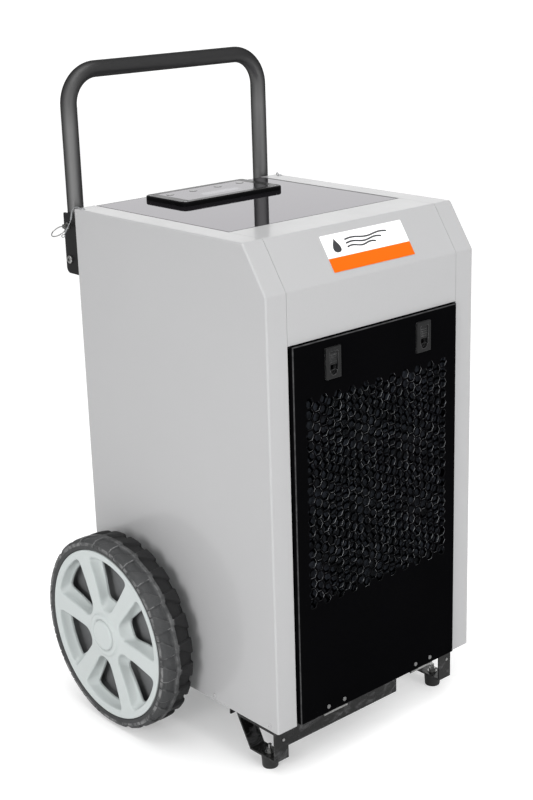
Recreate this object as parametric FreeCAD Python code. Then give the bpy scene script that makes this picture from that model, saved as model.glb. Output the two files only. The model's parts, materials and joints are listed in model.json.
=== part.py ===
import FreeCAD, Part
import math
import os

# Portable commercial condensing dehumidifier on two large wheels.
# Pieces are laid out from the cabinet's front left bottom corner (x right, y back,
# z up, millimetres).  On export they move so that the origin lies on the floor below
# the middle of the whole machine, +Z up, with the intake door facing -Y.

os.makedirs("parts", exist_ok=True)

Vector = FreeCAD.Vector

# Cabinet
WIDTH, DEPTH, HEIGHT = 430.0, 450.5, 749.0
MID_X = WIDTH / 2.0
SHEET = 1.2                  # sheet thickness
FRONT_TOP_Z = 678.4          # the front face ends here and the slope begins
SLOPE_END_Y = 46.1           # the slope meets the top here
SLOPE_ANGLE = 56.93          # degrees, sets the bend points of the inner outline
WRAP = 38.2                  # side panels wrap this far round the front and top
SEAM = 0.5                   # gap at the panel seams
FRONT_PANEL_Z = 601.6        # lower edge of the upper front panel
TOP_FLANGE_Y = 119.0         # rear edge of the front panel's top flange
CABINET_LIFT = 81.0          # cabinet bottom above the floor
MACHINE_MID_Y = 239.3        # middle of the whole machine, front to back
SHIFT = Vector(-MID_X, -MACHINE_MID_Y, CABINET_LIFT)
RUN = 0.05                   # radial running clearance

# Places shared by several pieces
HINGE_X = (117.0, 313.0)
HINGE_LEN = 50.0
HINGE_SCREWS = [(x + side, 13.5) for x in HINGE_X for side in (-17.0, 17.0)]    # x, y
LATCH_X = (119.5, 310.5)
FOOT_X = (22.0, 394.0)
FOOT_BOLT_Y = (40.0, 92.0)
CROSS_BOLT_X = (70.0, 156.0, 242.0)
CROSS_BOLT_Y = 30.0
WHEEL_Y, WHEEL_Z = 327.0, 80.0
AXLE_R = 8.0
AXLE_BOLTS = [(WHEEL_Y + 26 * a, WHEEL_Z + 26 * b) for a in (-1, 1) for b in (-1, 1)]
COMP_X, COMP_Y = 128.0, 262.0         # compressor axis
COMP_MOUNTS = [(COMP_X + 66 * math.cos(math.radians(angle)),
                COMP_Y + 66 * math.sin(math.radians(angle))) for angle in (90, 210, 330)]
SPIGOT_X, SPIGOT_Z = 300.0, 60.0
GLAND_X, GLAND_Z = 350.0, 290.0
HOOKS = [(182.0, 250.0), (254.0, 250.0)]                # x, z
HOOK_SCREW_DROP = 6.0
SIDE_SCREWS = [(y, 7.6) for y in (19.6, 150.0, 300.0, 430.0)]                   # y, z
REAR_SCREW_X = 9.0
REAR_SCREW_Z = (40.0, 240.0, 440.0, 600.0)
REAR_SCREWS = [(x, z) for x in (REAR_SCREW_X, WIDTH - REAR_SCREW_X) for z in REAR_SCREW_Z]
HANDLE_X = (18.5, 411.5)
HANDLE_Y = 474.7
PIVOT_Z, PIVOT_R = 664.0, 4.0
LOCK_Z = 718.8
BRACKET_X0, BRACKET_X1 = 2.5, 34.5
BRACKET_SHEET = 2.5
BRACKET_BOLT_Z = (648.5, 700.0)

# Screws: head radius, head height, shank radius, shank length
PANEL_SCREW = (4.0, 1.8, 2.0, 8.0)
HOOK_SCREW = (4.0, 1.8, 2.0, 10.0)
CONTROL_SCREW = (4.0, 2.0, 1.8, 4.6)
AXLE_BOLT = (6.5, 4.0, 4.0, 17.0)
PIVOT_BOLT = (6.6, 4.0, PIVOT_R, BRACKET_X1 - BRACKET_X0 + 9.0)
BRACKET_BOLT = (5.0, 2.2, 3.0, 10.0)
FOOT_BOLT = (5.0, 2.4, 3.0, 12.0)
CROSS_BOLT = (4.4, 1.8, 2.5, 9.0)
HINGE_SCREW = (3.4, 1.0, 2.0, 6.0)
FOOT_SIDE_SCREW = (2.6, 1.2, 1.6, 6.0)

AXES = {"x": Vector(1, 0, 0), "y": Vector(0, 1, 0), "z": Vector(0, 0, 1)}


# ---------------------------------------------------------------------------
# Helpers
# ---------------------------------------------------------------------------
def box(x0, x1, y0, y1, z0, z1):
    return Part.makeBox(x1 - x0, y1 - y0, z1 - z0, Vector(x0, y0, z0))


def cylinder(x, y, z, axis, radius, length):
    return Part.makeCylinder(radius, length, Vector(x, y, z), AXES[axis])


def hole(x, y, z, axis, radius, half=6.0):
    """Drill that reaches half its length to each side of the point."""
    start = [x, y, z]
    start["xyz".index(axis)] -= half
    return cylinder(*start, axis, radius, 2 * half)


def ring(x, y, z, axis, outer, inner, length):
    return cylinder(x, y, z, axis, outer, length).cut(hole(x, y, z, axis, inner, length + 5))


def prism_x(outline, x0, x1):
    """Extrude a y, z outline along x."""
    points = [Vector(x0, y, z) for y, z in outline]
    return Part.Face(Part.makePolygon(points + points[:1])).extrude(Vector(x1 - x0, 0, 0))


def hexagon(x, y, z, axis, radius):
    """Closed hexagon wire square to the axis; radius is to the corners."""
    points = []
    for corner in range(7):
        angle = math.radians(60 * corner)
        u, v = radius * math.cos(angle), radius * math.sin(angle)
        offset = {"x": Vector(0, u, v), "y": Vector(u, 0, v), "z": Vector(u, v, 0)}[axis]
        points.append(Vector(x, y, z) + offset)
    return Part.makePolygon(points)


def nut(x, y, z, axis, radius, height, bore):
    body = Part.Face(hexagon(x, y, z, axis, radius)).extrude(AXES[axis] * height)
    return body.cut(hole(x, y, z, axis, bore, 20.0))


def fuse(shapes):
    return shapes[0].multiFuse(shapes[1:]).removeSplitter()


def cut(shape, tools):
    return shape.cut(Part.makeCompound(tools))


def fillet(shape, radius, wanted):
    return shape.makeFillet(radius, [e for e in shape.Edges if wanted(e)])


def is_circle(edge):
    return isinstance(edge.Curve, Part.Circle)


def along(edge, axis, min_length=1e-6):
    """True for a straight edge parallel to the axis and longer than min_length."""
    if not isinstance(edge.Curve, (Part.Line, Part.LineSegment)):
        return False
    run = edge.Vertexes[-1].Point.sub(edge.Vertexes[0].Point)
    lengths = [abs(run.x), abs(run.y), abs(run.z)]
    length = lengths["xyz".index(axis)]
    return length > min_length and sum(lengths) - length < 1e-6


def in_y_plane(edge, y):
    return all(abs(v.Y - y) < 1e-6 for v in edge.Vertexes)


def rounded_box(x0, x1, y0, y1, z0, z1, radius, axis):
    """Box with the four edges along the axis rounded."""
    return fillet(box(x0, x1, y0, y1, z0, z1), radius, lambda e: along(e, axis))


def pipe(points, bends, outer, inner=0.0):
    """Round bar or tube along a path; bends holds one radius for each inner point."""
    points = [Vector(*p) for p in points]
    edges = []
    start = points[0]
    for before, corner, after, bend in zip(points, points[1:], points[2:], bends):
        back = before.sub(corner).normalize()
        ahead = after.sub(corner).normalize()
        half_angle = back.getAngle(ahead) / 2.0
        setback = bend / math.tan(half_angle)
        bend_start = corner + back * setback
        bend_end = corner + ahead * setback
        inward = (back + ahead).normalize()
        middle = corner + inward * (bend / math.sin(half_angle)) - inward * bend
        if (bend_start - start).Length > 1e-6:
            edges.append(Part.makeLine(start, bend_start))
        edges.append(Part.Arc(bend_start, middle, bend_end).toShape())
        start = bend_end
    edges.append(Part.makeLine(start, points[-1]))
    path = Part.Wire(edges)
    direction = points[1].sub(points[0]).normalize()

    def sweep(radius):
        section = Part.Wire(Part.makeCircle(radius, points[0], direction))
        return path.makePipeShell([section], True, True, 2)

    bar = sweep(outer)
    return bar.cut(sweep(inner)) if inner else bar


def screw(x, y, z, axis, sign, size, socket=True):
    """Screw seated at the point, its head standing on the side the sign points to."""
    head_r, head_h, shank_r, shank_len = size
    i = "xyz".index(axis)
    seat = [x, y, z]
    head_at, shank_at, socket_at = list(seat), list(seat), list(seat)
    if sign < 0:
        head_at[i] -= head_h
        socket_at[i] -= head_h * 1.05
    else:
        shank_at[i] -= shank_len
        socket_at[i] += head_h * 0.35
    head = cylinder(*head_at, axis, head_r, head_h)
    face_at = seat[i] + sign * head_h
    head = fillet(head, head_h * 0.6,
                  lambda e: is_circle(e) and abs(e.Curve.Center[i] - face_at) < 1e-6)
    body = head.fuse(cylinder(*shank_at, axis, shank_r, shank_len)).removeSplitter()
    if socket:
        mouth = Part.Face(hexagon(*socket_at, axis, head_r * 0.42))
        body = body.cut(mouth.extrude(AXES[axis] * (head_h * 0.7)))
    return body


def mirror(shape):
    """The same piece on the other side of the machine."""
    return shape.mirror(Vector(MID_X, 0, 0), Vector(1, 0, 0))


def both_sides(shapes):
    return shapes + [mirror(s) for s in shapes]


def export(name, *shapes):
    """Move the solids to the machine frame and write them as one file."""
    solids = [solid for shape in shapes for solid in shape.Solids]
    piece = solids[0] if len(solids) == 1 else Part.makeCompound(solids)
    piece = piece.copy()
    piece.translate(SHIFT)
    piece.exportStep("parts/%s.step" % name)


def export_pair(name, *left):
    export(name + "_left", *left)
    export(name + "_right", *[mirror(s) for s in left])


# ---------------------------------------------------------------------------
# Cabinet skin: one folded profile, split into side panels and front panel
# ---------------------------------------------------------------------------
def cabinet_block(inset):
    """Solid cabinet outline; an inset one runs 1 mm out of the open back and bottom."""
    overrun = 1.0 if inset else 0.0
    front_drop = inset * math.tan(math.radians(90 - SLOPE_ANGLE) / 2.0)
    top_shift = inset * math.tan(math.radians(SLOPE_ANGLE) / 2.0)
    back = DEPTH + overrun
    outline = [(inset, -overrun), (back, -overrun), (back, HEIGHT - inset),
               (SLOPE_END_Y + top_shift, HEIGHT - inset), (inset, FRONT_TOP_Z - front_drop)]
    block = prism_x(outline, inset, WIDTH - inset)
    # slope bends first, then the long side edges
    block = fillet(block, 6.0 - inset, lambda e: along(e, "x", 100)
                   and e.Vertexes[0].Z > 600 and e.Vertexes[0].Y < DEPTH - 1)
    for side_x in (inset, WIDTH - inset):
        block = fillet(block, 3.0 - inset, lambda e: not along(e, "x")
                       and all(abs(v.X - side_x) < 1e-5 for v in e.Vertexes)
                       and not (along(e, "z") and e.Vertexes[0].Y > DEPTH - 2)
                       and not (along(e, "y") and max(v.Z for v in e.Vertexes) < 1))
    return block


def side_panel(skin):
    """Left side panel with a return flange folded inwards in front of the rear panel."""
    panel = skin.common(box(-5, WRAP, -5, DEPTH + 5, -5, HEIGHT + 5))
    flange_span = (DEPTH - 2 * SHEET - 0.4, DEPTH - SHEET - 0.4, 4.0, HEIGHT - 6.0)
    panel = fuse([panel, box(SHEET, 14.0, *flange_span),
                  box(SHEET - 0.2, SHEET + 0.4, *flange_span)])
    holes = [hole(0, y, z, "x", 2.1) for y, z in SIDE_SCREWS]
    holes += [hole(0, y, z, "x", 4.1) for y, z in AXLE_BOLTS]
    holes += [hole(0, WHEEL_Y, WHEEL_Z, "x", AXLE_R + 1.0)]
    panel = cut(panel, holes)
    for z in REAR_SCREW_Z:
        panel = panel.cut(hole(REAR_SCREW_X, DEPTH - 4, z, "y", 2.1))
    return panel


def front_panel(skin):
    """Upper front panel with slope and top flange; its lower lip holds the latches."""
    x0, x1 = WRAP + SEAM, WIDTH - WRAP - SEAM
    panel = skin.common(box(x0, x1, -5, TOP_FLANGE_Y, FRONT_PANEL_Z, HEIGHT + 5))
    lip = box(x0, x1, 0.0, 17.0, FRONT_PANEL_Z, FRONT_PANEL_Z + SHEET)
    keepers = [box(x - 6.0, x + 6.0, 2.4, 7.0, FRONT_PANEL_Z - 1, FRONT_PANEL_Z + 3)
               for x in LATCH_X]
    return cut(fuse([panel, lip]), keepers)


def intake_frame():
    y = 14.0
    plate = box(6.0, WIDTH - 6.0, y, y + SHEET, 24.0, 596.0)
    return plate.cut(box(52.0, 378.0, y - 1, y + 3, 150.0, 560.0))


def base_pan():
    """Flat tray with four upstands."""
    x0, x1 = SHEET + 0.2, WIDTH - SHEET - 0.2
    y0, y1 = 9.0, DEPTH - 3.6
    z0, z1 = 0.2, 24.0
    gauge = 1.5
    pan = fuse([box(x0, x1, y0, y1, z0, z0 + gauge),
                box(x0, x0 + gauge, y0, y1, z0, z1), box(x1 - gauge, x1, y0, y1, z0, z1),
                box(x0, x1, y0, y0 + gauge, z0, z1), box(x0, x1, y1 - gauge, y1, z0, z1)])
    holes = [hole(x, y, 1.0, "z", 3.2) for x, y in COMP_MOUNTS]
    holes += [hole(x, y, z, "x", 2.1, 4.0) for x in (0, WIDTH) for y, z in SIDE_SCREWS]
    holes += [hole(x, y, 1.0, "z", 3.1) for x in FOOT_X for y in FOOT_BOLT_Y]
    holes += [hole(x, y, 1.0, "z", 2.05) for x, y in HINGE_SCREWS]
    holes += [hole(x, CROSS_BOLT_Y, 1.0, "z", 2.6) for x in CROSS_BOLT_X]
    return cut(pan, holes)


def rear_panel():
    """Rear panel with two columns of outlet slots."""
    panel = box(SHEET + 0.2, WIDTH - SHEET - 0.2, DEPTH - SHEET - 0.2, DEPTH - 0.2,
                3.0, HEIGHT - SHEET - 0.3)
    panel = fillet(panel, 4.0, lambda e: along(e, "y") and e.Vertexes[0].Z > 700)
    tools = []
    for row in range(15):
        for column in range(2):
            x = 95.0 + column * 125.0
            z = 330.0 + row * 15.0
            tools.append(rounded_box(x, x + 115.0, DEPTH - 8, DEPTH + 4, z, z + 7.0, 3.4, "y"))
    holes = [(SPIGOT_X, SPIGOT_Z, 9.1), (GLAND_X, GLAND_Z, 8.1)]        # x, z, radius
    holes += [(x, z, 2.1) for x, z in REAR_SCREWS]
    holes += [(x, z - HOOK_SCREW_DROP, 2.1) for x, z in HOOKS]
    holes += [(x, z, 3.1) for x in HANDLE_X for z in BRACKET_BOLT_Z]
    tools += [hole(x, DEPTH, z, "y", radius) for x, z, radius in holes]
    return cut(panel, tools)


def top_deck():
    """Sheet under the glass with front and rear downturns."""
    x0, x1, y0, y1 = 6.0, WIDTH - 6.0, 100.0, DEPTH - 5.0
    downturn_z, deck_z, deck_top = 728.0, 743.0, 744.4
    deck = fuse([box(x0, x1, y0, y1, deck_z, deck_top),
                 box(x0, x1, y0, y0 + SHEET, downturn_z, deck_top),
                 box(x0, x1, y1 - SHEET, y1, downturn_z, deck_top)])
    return deck.cut(hole(202.5, 344.0, deck_z, "z", 10.0))


skin = cabinet_block(0.0).cut(cabinet_block(SHEET))
left_side = side_panel(skin)
export("left_side_panel", left_side)
export("right_side_panel", mirror(left_side))
export("front_panel", front_panel(skin))
export("intake_frame", intake_frame())
export("base_pan", base_pan())
export("rear_panel", rear_panel())
export("top_deck", top_deck())

# ---------------------------------------------------------------------------
# Top glass, control unit and name plate
# ---------------------------------------------------------------------------
CONTROL_X0, CONTROL_X1, CONTROL_Y0, CONTROL_Y1 = 122.0, 331.0, 324.5, 431.5
CONTROL_Z0, CONTROL_Z1 = 748.7, 756.2
CONTROL_POSTS = [(x, y) for y in (CONTROL_Y0 + 9, CONTROL_Y1 - 9)
                 for x in (CONTROL_X0 + 9, CONTROL_X1 - 9)]
OVERLAY_INSET_X, OVERLAY_INSET_Y = 18.0, 13.0
KEY_R = 6.5
KEY_Y = 400.5
KEYS = {"button_power": 152.5, "button_mode": 200.0, "button_up": 252.0, "button_down": 300.0}


def control_block(inset_x, inset_y, z0, z1, corner_r):
    """Rounded block inset from the control unit's outline."""
    return rounded_box(CONTROL_X0 + inset_x, CONTROL_X1 - inset_x,
                       CONTROL_Y0 + inset_y, CONTROL_Y1 - inset_y, z0, z1, corner_r, "z")


def key_holes():
    return [cylinder(x, KEY_Y, CONTROL_Z1 - 5, "z", KEY_R + 0.25, 8) for x in KEYS.values()]


def top_glass():
    top_z = 748.6
    glass = rounded_box(WRAP + 1.0, WIDTH - WRAP - 1.0, TOP_FLANGE_Y + 1.0, DEPTH - 1.6,
                        744.5, top_z, 2.0, "z")
    glass = fillet(glass, 0.5, lambda e: abs(e.Vertexes[0].Z - top_z) < 1e-6
                   and abs(e.Vertexes[-1].Z - top_z) < 1e-6)
    return cut(glass, [control_block(11, 8, 740.0, 752.0, 4.0)])


def control_housing():
    wall = 2.2
    housing = control_block(0, 0, CONTROL_Z0, CONTROL_Z1, 11.0)
    housing = fillet(housing, 2.5,
                     lambda e: min(v.Z for v in e.Vertexes) > CONTROL_Z1 - 1e-6)
    housing = housing.cut(
        control_block(wall, wall, CONTROL_Z0 - 1, CONTROL_Z1 - wall, 11.0 - wall))
    housing = fuse([housing] + [
        cylinder(x, y, CONTROL_Z0, "z", 5.0, CONTROL_Z1 - CONTROL_Z0 - 1.0)
        for x, y in CONTROL_POSTS])
    # sunk field for the overlay, display opening, key holes, screw holes
    tools = [control_block(OVERLAY_INSET_X, OVERLAY_INSET_Y,
                           CONTROL_Z1 - 0.7, CONTROL_Z1 + 1, 4.0),
             rounded_box(174.0, 286.0, 345.5, 369.5, CONTROL_Z1 - 4, CONTROL_Z1 + 1, 2.0, "z")]
    tools += key_holes()
    tools += [cylinder(x, y, CONTROL_Z0 - 1, "z", 1.9, 30) for x, y in CONTROL_POSTS]
    tools += [cylinder(x, y, CONTROL_Z1 - 2.4, "z", 4.2, 6) for x, y in CONTROL_POSTS]
    return cut(housing, tools)


def control_overlay():
    gap = 0.2
    overlay = control_block(OVERLAY_INSET_X + gap, OVERLAY_INSET_Y + gap,
                            CONTROL_Z1 - 0.7, CONTROL_Z1 - 0.1, 4.0 - gap)
    return cut(overlay, key_holes())


def control_board():
    board = box(CONTROL_X0 + 14, CONTROL_X1 - 14, CONTROL_Y0 + 10, CONTROL_Y1 - 10,
                CONTROL_Z1 - 9.2, CONTROL_Z1 - 7.6)
    display = box(175.0, 285.0, 346.5, 368.5, CONTROL_Z1 - 7.7, CONTROL_Z1 - 2.6)
    return cut(fuse([board, display]),
               [cylinder(x, y, CONTROL_Z0 - 1, "z", 5.3, 30) for x, y in CONTROL_POSTS])


def button(x):
    """Key with a collar that keeps it inside the housing."""
    z = CONTROL_Z1 - 5.0
    key = cylinder(x, KEY_Y, z, "z", KEY_R, 5.4)
    key = fillet(key, 0.35, lambda e: e.Vertexes[0].Z > CONTROL_Z1)
    return fuse([key, cylinder(x, KEY_Y, z, "z", KEY_R + 1.6, 1.2)])


def name_plate():
    """Plain plate lying on the slope."""
    rise = HEIGHT - FRONT_TOP_Z
    slope = math.atan2(rise, SLOPE_END_Y)
    start_y = 6.9
    plate = rounded_box(139.0, 306.5, 0.0, 57.5, 0.0, 0.6, 1.5, "z")
    plate.rotate(Vector(0, 0, 0), AXES["x"], math.degrees(slope))
    outward = Vector(0, -math.sin(slope), math.cos(slope))
    plate.translate(Vector(0, start_y, FRONT_TOP_Z + start_y * rise / SLOPE_END_Y)
                    + outward * 0.05)
    return plate


export("top_glass", top_glass())
export("control_housing", control_housing())
export("control_overlay", control_overlay())
export("control_board", control_board())
for name, x in KEYS.items():
    export(name, button(x))
export("front_label", name_plate())

# ---------------------------------------------------------------------------
# Intake door with latches, hinges and filter
# ---------------------------------------------------------------------------
DOOR_X0, DOOR_X1 = 42.5, 387.5
DOOR_Z0, DOOR_Z1 = 2.4, 600.4
DOOR_Y = -6.0                # door face stands proud of the cabinet front
DOOR_BACK_Y = 6.0
DOOR_RIM = 4.0               # width of the bent rim strip round the flat sheet
HEX_FLATS = 14.2             # hexagon perforation across flats
HEX_COLUMNS, HEX_ROWS = 21, 20
HEX_COLUMN_PITCH, HEX_ROW_PITCH = 14.2, 16.7
HEX_Z0 = 194.5               # lowest row centre
LATCH_Z = 563.0
LATCH_W, LATCH_H = 30.0, 48.0
HINGE_Y, HINGE_Z = -2.0, -1.0
KNUCKLE_R, HINGE_PIN_R = 2.6, 1.3
DOOR_LEAF_Y = HINGE_Y - KNUCKLE_R
DOOR_LEAF_T = 1.1
RIVETS = [(x + side, 12.0) for x in HINGE_X for side in (-17.0, 17.0)]          # x, z


def door_rectangle(x0, x1, z0, z1):
    corners = ((x0, z0), (x1, z0), (x1, z1), (x0, z1), (x0, z0))
    return Part.makePolygon([Vector(x, DOOR_Y, z) for x, z in corners])


def door_sheet():
    """Flat perforated face, odd columns staggered by half a pitch."""
    openings = []
    for column in range(HEX_COLUMNS):
        x = MID_X + (column - 10) * HEX_COLUMN_PITCH
        odd = column % 2
        for row in range(HEX_ROWS - odd):
            z = HEX_Z0 + (row + odd / 2.0) * HEX_ROW_PITCH
            openings.append(hexagon(x, DOOR_Y, z, "y", HEX_FLATS / math.sqrt(3.0)))
    openings += [door_rectangle(x - 12.0, x + 12.0, LATCH_Z - 20.0, LATCH_Z + 20.0)
                 for x in LATCH_X]
    openings += [Part.Wire(Part.makeCircle(2.05, Vector(x, DOOR_Y, z), AXES["y"]))
                 for x, z in RIVETS]
    face = Part.Face(door_rectangle(DOOR_X0 + DOOR_RIM, DOOR_X1 - DOOR_RIM,
                                    DOOR_Z0, DOOR_Z1 - DOOR_RIM))
    face = face.cut(Part.makeCompound([Part.Face(wire) for wire in openings]))
    return face.extrude(Vector(0, SHEET, 0))


def door_bend(y):
    """Selects the vertical edges and the top edge lying in the plane y."""
    def wanted(edge):
        a, b = edge.Vertexes[0].Point, edge.Vertexes[-1].Point
        if abs(a.y - y) > 1e-6 or abs(b.y - y) > 1e-6:
            return False
        return abs(a.x - b.x) < 1e-6 or min(a.z, b.z) > 500.0
    return wanted


def front_door():
    inner_y = DOOR_Y + SHEET
    outer = fillet(box(DOOR_X0, DOOR_X1, DOOR_Y, DOOR_BACK_Y, DOOR_Z0, DOOR_Z1),
                   2.4, door_bend(DOOR_Y))
    inner = fillet(box(DOOR_X0 + SHEET, DOOR_X1 - SHEET, inner_y, 8.0,
                       DOOR_Z0 + SHEET, DOOR_Z1 - SHEET), 1.2, door_bend(inner_y))
    # the last box clears the outer block's bottom strip
    returns = cut(outer, [inner,
                          box(DOOR_X0 + DOOR_RIM, DOOR_X1 - DOOR_RIM, DOOR_Y - 1, inner_y,
                              DOOR_Z0 - 1, DOOR_Z1 - DOOR_RIM),
                          box(DOOR_X0 - 1, DOOR_X1 + 1, inner_y, 8.0,
                              DOOR_Z0 - 1, DOOR_Z0 + SHEET + 0.01)])
    bottom = box(DOOR_X0, DOOR_X1, inner_y - 0.1, -0.6, DOOR_Z0, DOOR_Z0 + SHEET)
    hinge_half = HINGE_LEN / 2 + 1.5
    bottom = cut(bottom, [box(x - hinge_half, x + hinge_half, -4.8, 2, 0, 6) for x in HINGE_X])
    corners = [box(x, x + SHEET, -0.7, DOOR_BACK_Y, DOOR_Z0, DOOR_Z0 + SHEET + 0.1)
               for x in (DOOR_X0, DOOR_X1 - SHEET)]
    # openings in the top return for the latch tongues
    returns = cut(returns, [box(x - 5.2, x + 5.2, 2.5, 10.5, DOOR_Z1 - SHEET - 1, DOOR_Z1 + 1)
                            for x in LATCH_X])
    return door_sheet().fuse([returns] + bottom.Solids + corners)


def latch_bezel(x):
    front_y = DOOR_Y - 3.4
    bezel = box(x - LATCH_W / 2, x + LATCH_W / 2, front_y, DOOR_Y,
                LATCH_Z - LATCH_H / 2, LATCH_Z + LATCH_H / 2)
    bezel = fillet(bezel, 1.2, lambda e: along(e, "y"))
    bezel = fillet(bezel, 1.0, lambda e: in_y_plane(e, front_y))
    body = box(x - 11.7, x + 11.7, DOOR_Y, DOOR_Y + 10.0, LATCH_Z - 19.7, LATCH_Z + 19.7)
    cavity = box(x - 8.0, x + 8.0, DOOR_Y - 5, DOOR_Y + 2.6, LATCH_Z - 12.0, LATCH_Z + 17.0)
    notch = cylinder(x, DOOR_Y - 5.0, LATCH_Z - 12.0, "y", 6.5, 6.6)
    guide = box(x - 5.2, x + 5.2, DOOR_Y + 2.2, DOOR_Y + 8.4, LATCH_Z - 17.5, LATCH_Z + 25)
    return cut(fuse([bezel, body]), [cavity, notch, guide])


def latch_slider(x):
    """Grooved thumb pad with a stem and a stepped tongue reaching up past the door."""
    front_y = DOOR_Y - 2.4
    pad_z0, pad_z1 = LATCH_Z - 3.0, LATCH_Z + 16.4
    pad = box(x - 7.4, x + 7.4, front_y, DOOR_Y + 2.2, pad_z0, pad_z1)
    pad = fillet(pad, 0.8, lambda e: in_y_plane(e, front_y))
    pad = cut(pad, [box(x - 5.5, x + 5.5, DOOR_Y - 5, DOOR_Y - 1.6,
                        LATCH_Z + z - 0.6, LATCH_Z + z + 0.6) for z in (1.5, 5.0, 8.5, 12.0)])
    # stem, then the tongue: y0, y1, z0, z1
    spans = [(DOOR_Y + 2.0, DOOR_Y + 6.0, pad_z0, pad_z1),
             (-3.0, 0.0, LATCH_Z + 16.0, DOOR_Z1 - 6.0),
             (-3.0, 6.0, DOOR_Z1 - 9.0, DOOR_Z1 - 6.0),
             (3.0, 6.0, DOOR_Z1 - 9.0, DOOR_Z1 + 0.7)]
    return fuse([pad] + [box(x - 4.6, x + 4.6, *span) for span in spans])


def hinge_bar(x0, radius, length):
    return cylinder(x0, HINGE_Y, HINGE_Z, "x", radius, length)


def hinge_base_leaf(x):
    """Leaf under the base pan with the two outer knuckles."""
    x0 = x - HINGE_LEN / 2
    leaf = box(x0, x0 + HINGE_LEN, HINGE_Y, 24.0, HINGE_Z, 0.15)
    leaf = leaf.cut(box(x0 + 14.8, x0 + 35.2, -6, 2.2, -4, 4))
    hinge = fuse([hinge_bar(x0, KNUCKLE_R, 15.0), hinge_bar(x0 + 35.0, KNUCKLE_R, 15.0), leaf])
    return cut(hinge, [hinge_bar(x0 - 1, HINGE_PIN_R, HINGE_LEN + 2)]
               + [hole(x + side, 13.5, 0, "z", 2.05) for side in (-17.0, 17.0)])


def hinge_door_leaf(x):
    """Leaf behind the door sheet with the middle knuckle."""
    x0 = x - HINGE_LEN / 2
    leaf_y1 = DOOR_LEAF_Y + DOOR_LEAF_T
    hinge = fuse([hinge_bar(x0 + 15.2, KNUCKLE_R, 19.6),
                  box(x0, x0 + HINGE_LEN, DOOR_LEAF_Y, leaf_y1, DOOR_Z0 + 0.2, 24.0),
                  box(x0 + 15.2, x0 + 34.8, DOOR_LEAF_Y, leaf_y1, HINGE_Z, 10.0)])
    return cut(hinge, [hinge_bar(x0 - 1, HINGE_PIN_R + RUN, HINGE_LEN + 2)]
               + [hole(x + side, -4, 12.0, "y", 2.05) for side in (-17.0, 17.0)])


def hinge_pin(x):
    return hinge_bar(x - HINGE_LEN / 2 - 0.6, HINGE_PIN_R, HINGE_LEN + 1.2)


def hinge_rivet(x, z):
    head = cylinder(x, DOOR_Y - 1.3, z, "y", 3.6, 1.3)
    head = fillet(head, 1.0, lambda e: e.Vertexes[0].Y < DOOR_Y - 1.2 and is_circle(e))
    return fuse([head, cylinder(x, DOOR_Y - 0.1, z, "y", 2.0, 3.0),
                 cylinder(x, DOOR_LEAF_Y + DOOR_LEAF_T, z, "y", 3.0, 1.0)])


def air_filter():
    """Frame, net and stiffening bars behind the door."""
    x0, x1, z0, z1 = 58.0, 372.0, 174.0, 532.0
    net_x0, net_x1, net_z0, net_z1 = x0 + 9, x1 - 9, z0 + 8, z1 - 8
    frame = box(x0, x1, -4.6, 6.0, z0, z1).cut(box(x0 + 10, x1 - 10, -6, 8, z0 + 9, z1 - 9))
    net = box(net_x0, net_x1, 0.4, 1.4, net_z0, net_z1)
    bars = [box(net_x0, net_x1, 1.2, 5.0, z - 1.5, z + 1.5) for z in (262.0, 352.0, 442.0)]
    bars += [box(x - 1.5, x + 1.5, 1.2, 5.0, net_z0, net_z1) for x in (137.5, MID_X, 292.5)]
    return fuse([frame, net] + bars)


export("front_door", front_door())
export("latch_bezels", *[latch_bezel(x) for x in LATCH_X])
for side, x in zip(("left", "right"), LATCH_X):
    export("latch_slider_" + side, latch_slider(x))
export("hinge_base_leaves", *[part(x) for part in (hinge_base_leaf, hinge_pin) for x in HINGE_X])
export("hinge_door_leaves", *[hinge_door_leaf(x) for x in HINGE_X])
export("hinge_rivets", *[hinge_rivet(x, z) for x, z in RIVETS])
export("air_filter", air_filter())

# ---------------------------------------------------------------------------
# Front feet and cross member
# ---------------------------------------------------------------------------
BRACKET_DROP = 60.0          # underside of the foot brackets below the cabinet bottom
STUD_Y, STUD_R = 46.0, 3.0
STUD_Z = -CABINET_LIFT + 7
FOOT_SIDE_SCREW_Z = -26.0
# y, z outlines of the folded foot bracket
FOOT_OUTER = [(18, -0.9), (18, -BRACKET_DROP), (77, -BRACKET_DROP), (107.5, -7.0),
              (117, -7.0), (117, -0.9)]
FOOT_INNER = [(21, -3.9), (21, -BRACKET_DROP + 3), (75.2, -BRACKET_DROP + 3), (105.4, -3.9)]
FOOT_CHEEK = [(21, -0.9), (21, -12.0), (101.3, -12.0), (107.5, -0.9)]


def foot_bracket(x):
    x0, x1 = x - 14.0, x + 14.0
    strap = prism_x(FOOT_OUTER, x0, x1).cut(prism_x(FOOT_INNER, x0 - 1, x1 + 1))
    lip = fuse([box(x0, x1, 110.0, 124.0, -3.9, -0.9), box(x0, x1, 121.0, 124.0, -16.0, -0.9)])
    bracket = fuse([strap, prism_x(FOOT_CHEEK, x0, x0 + 2.5),
                    prism_x(FOOT_CHEEK, x1 - 2.5, x1), lip])
    return cut(bracket, [hole(x, STUD_Y, -BRACKET_DROP, "z", 3.1)]
               + [hole(x, y, -3, "z", 3.1, 5) for y in FOOT_BOLT_Y]
               + [hole(x + 4.0, 18.0, FOOT_SIDE_SCREW_Z, "y", 1.6, 8)])


def rubber_foot(x):
    foot = Part.makeCone(12.5, 14.0, CABINET_LIFT - BRACKET_DROP,
                         Vector(x, STUD_Y, -CABINET_LIFT))
    foot = fillet(foot, 2.0,
                  lambda e: abs(e.Vertexes[0].Z + CABINET_LIFT) < 1e-6 and is_circle(e))
    return foot.cut(cylinder(x, STUD_Y, STUD_Z, "z", STUD_R, 30))


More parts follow.
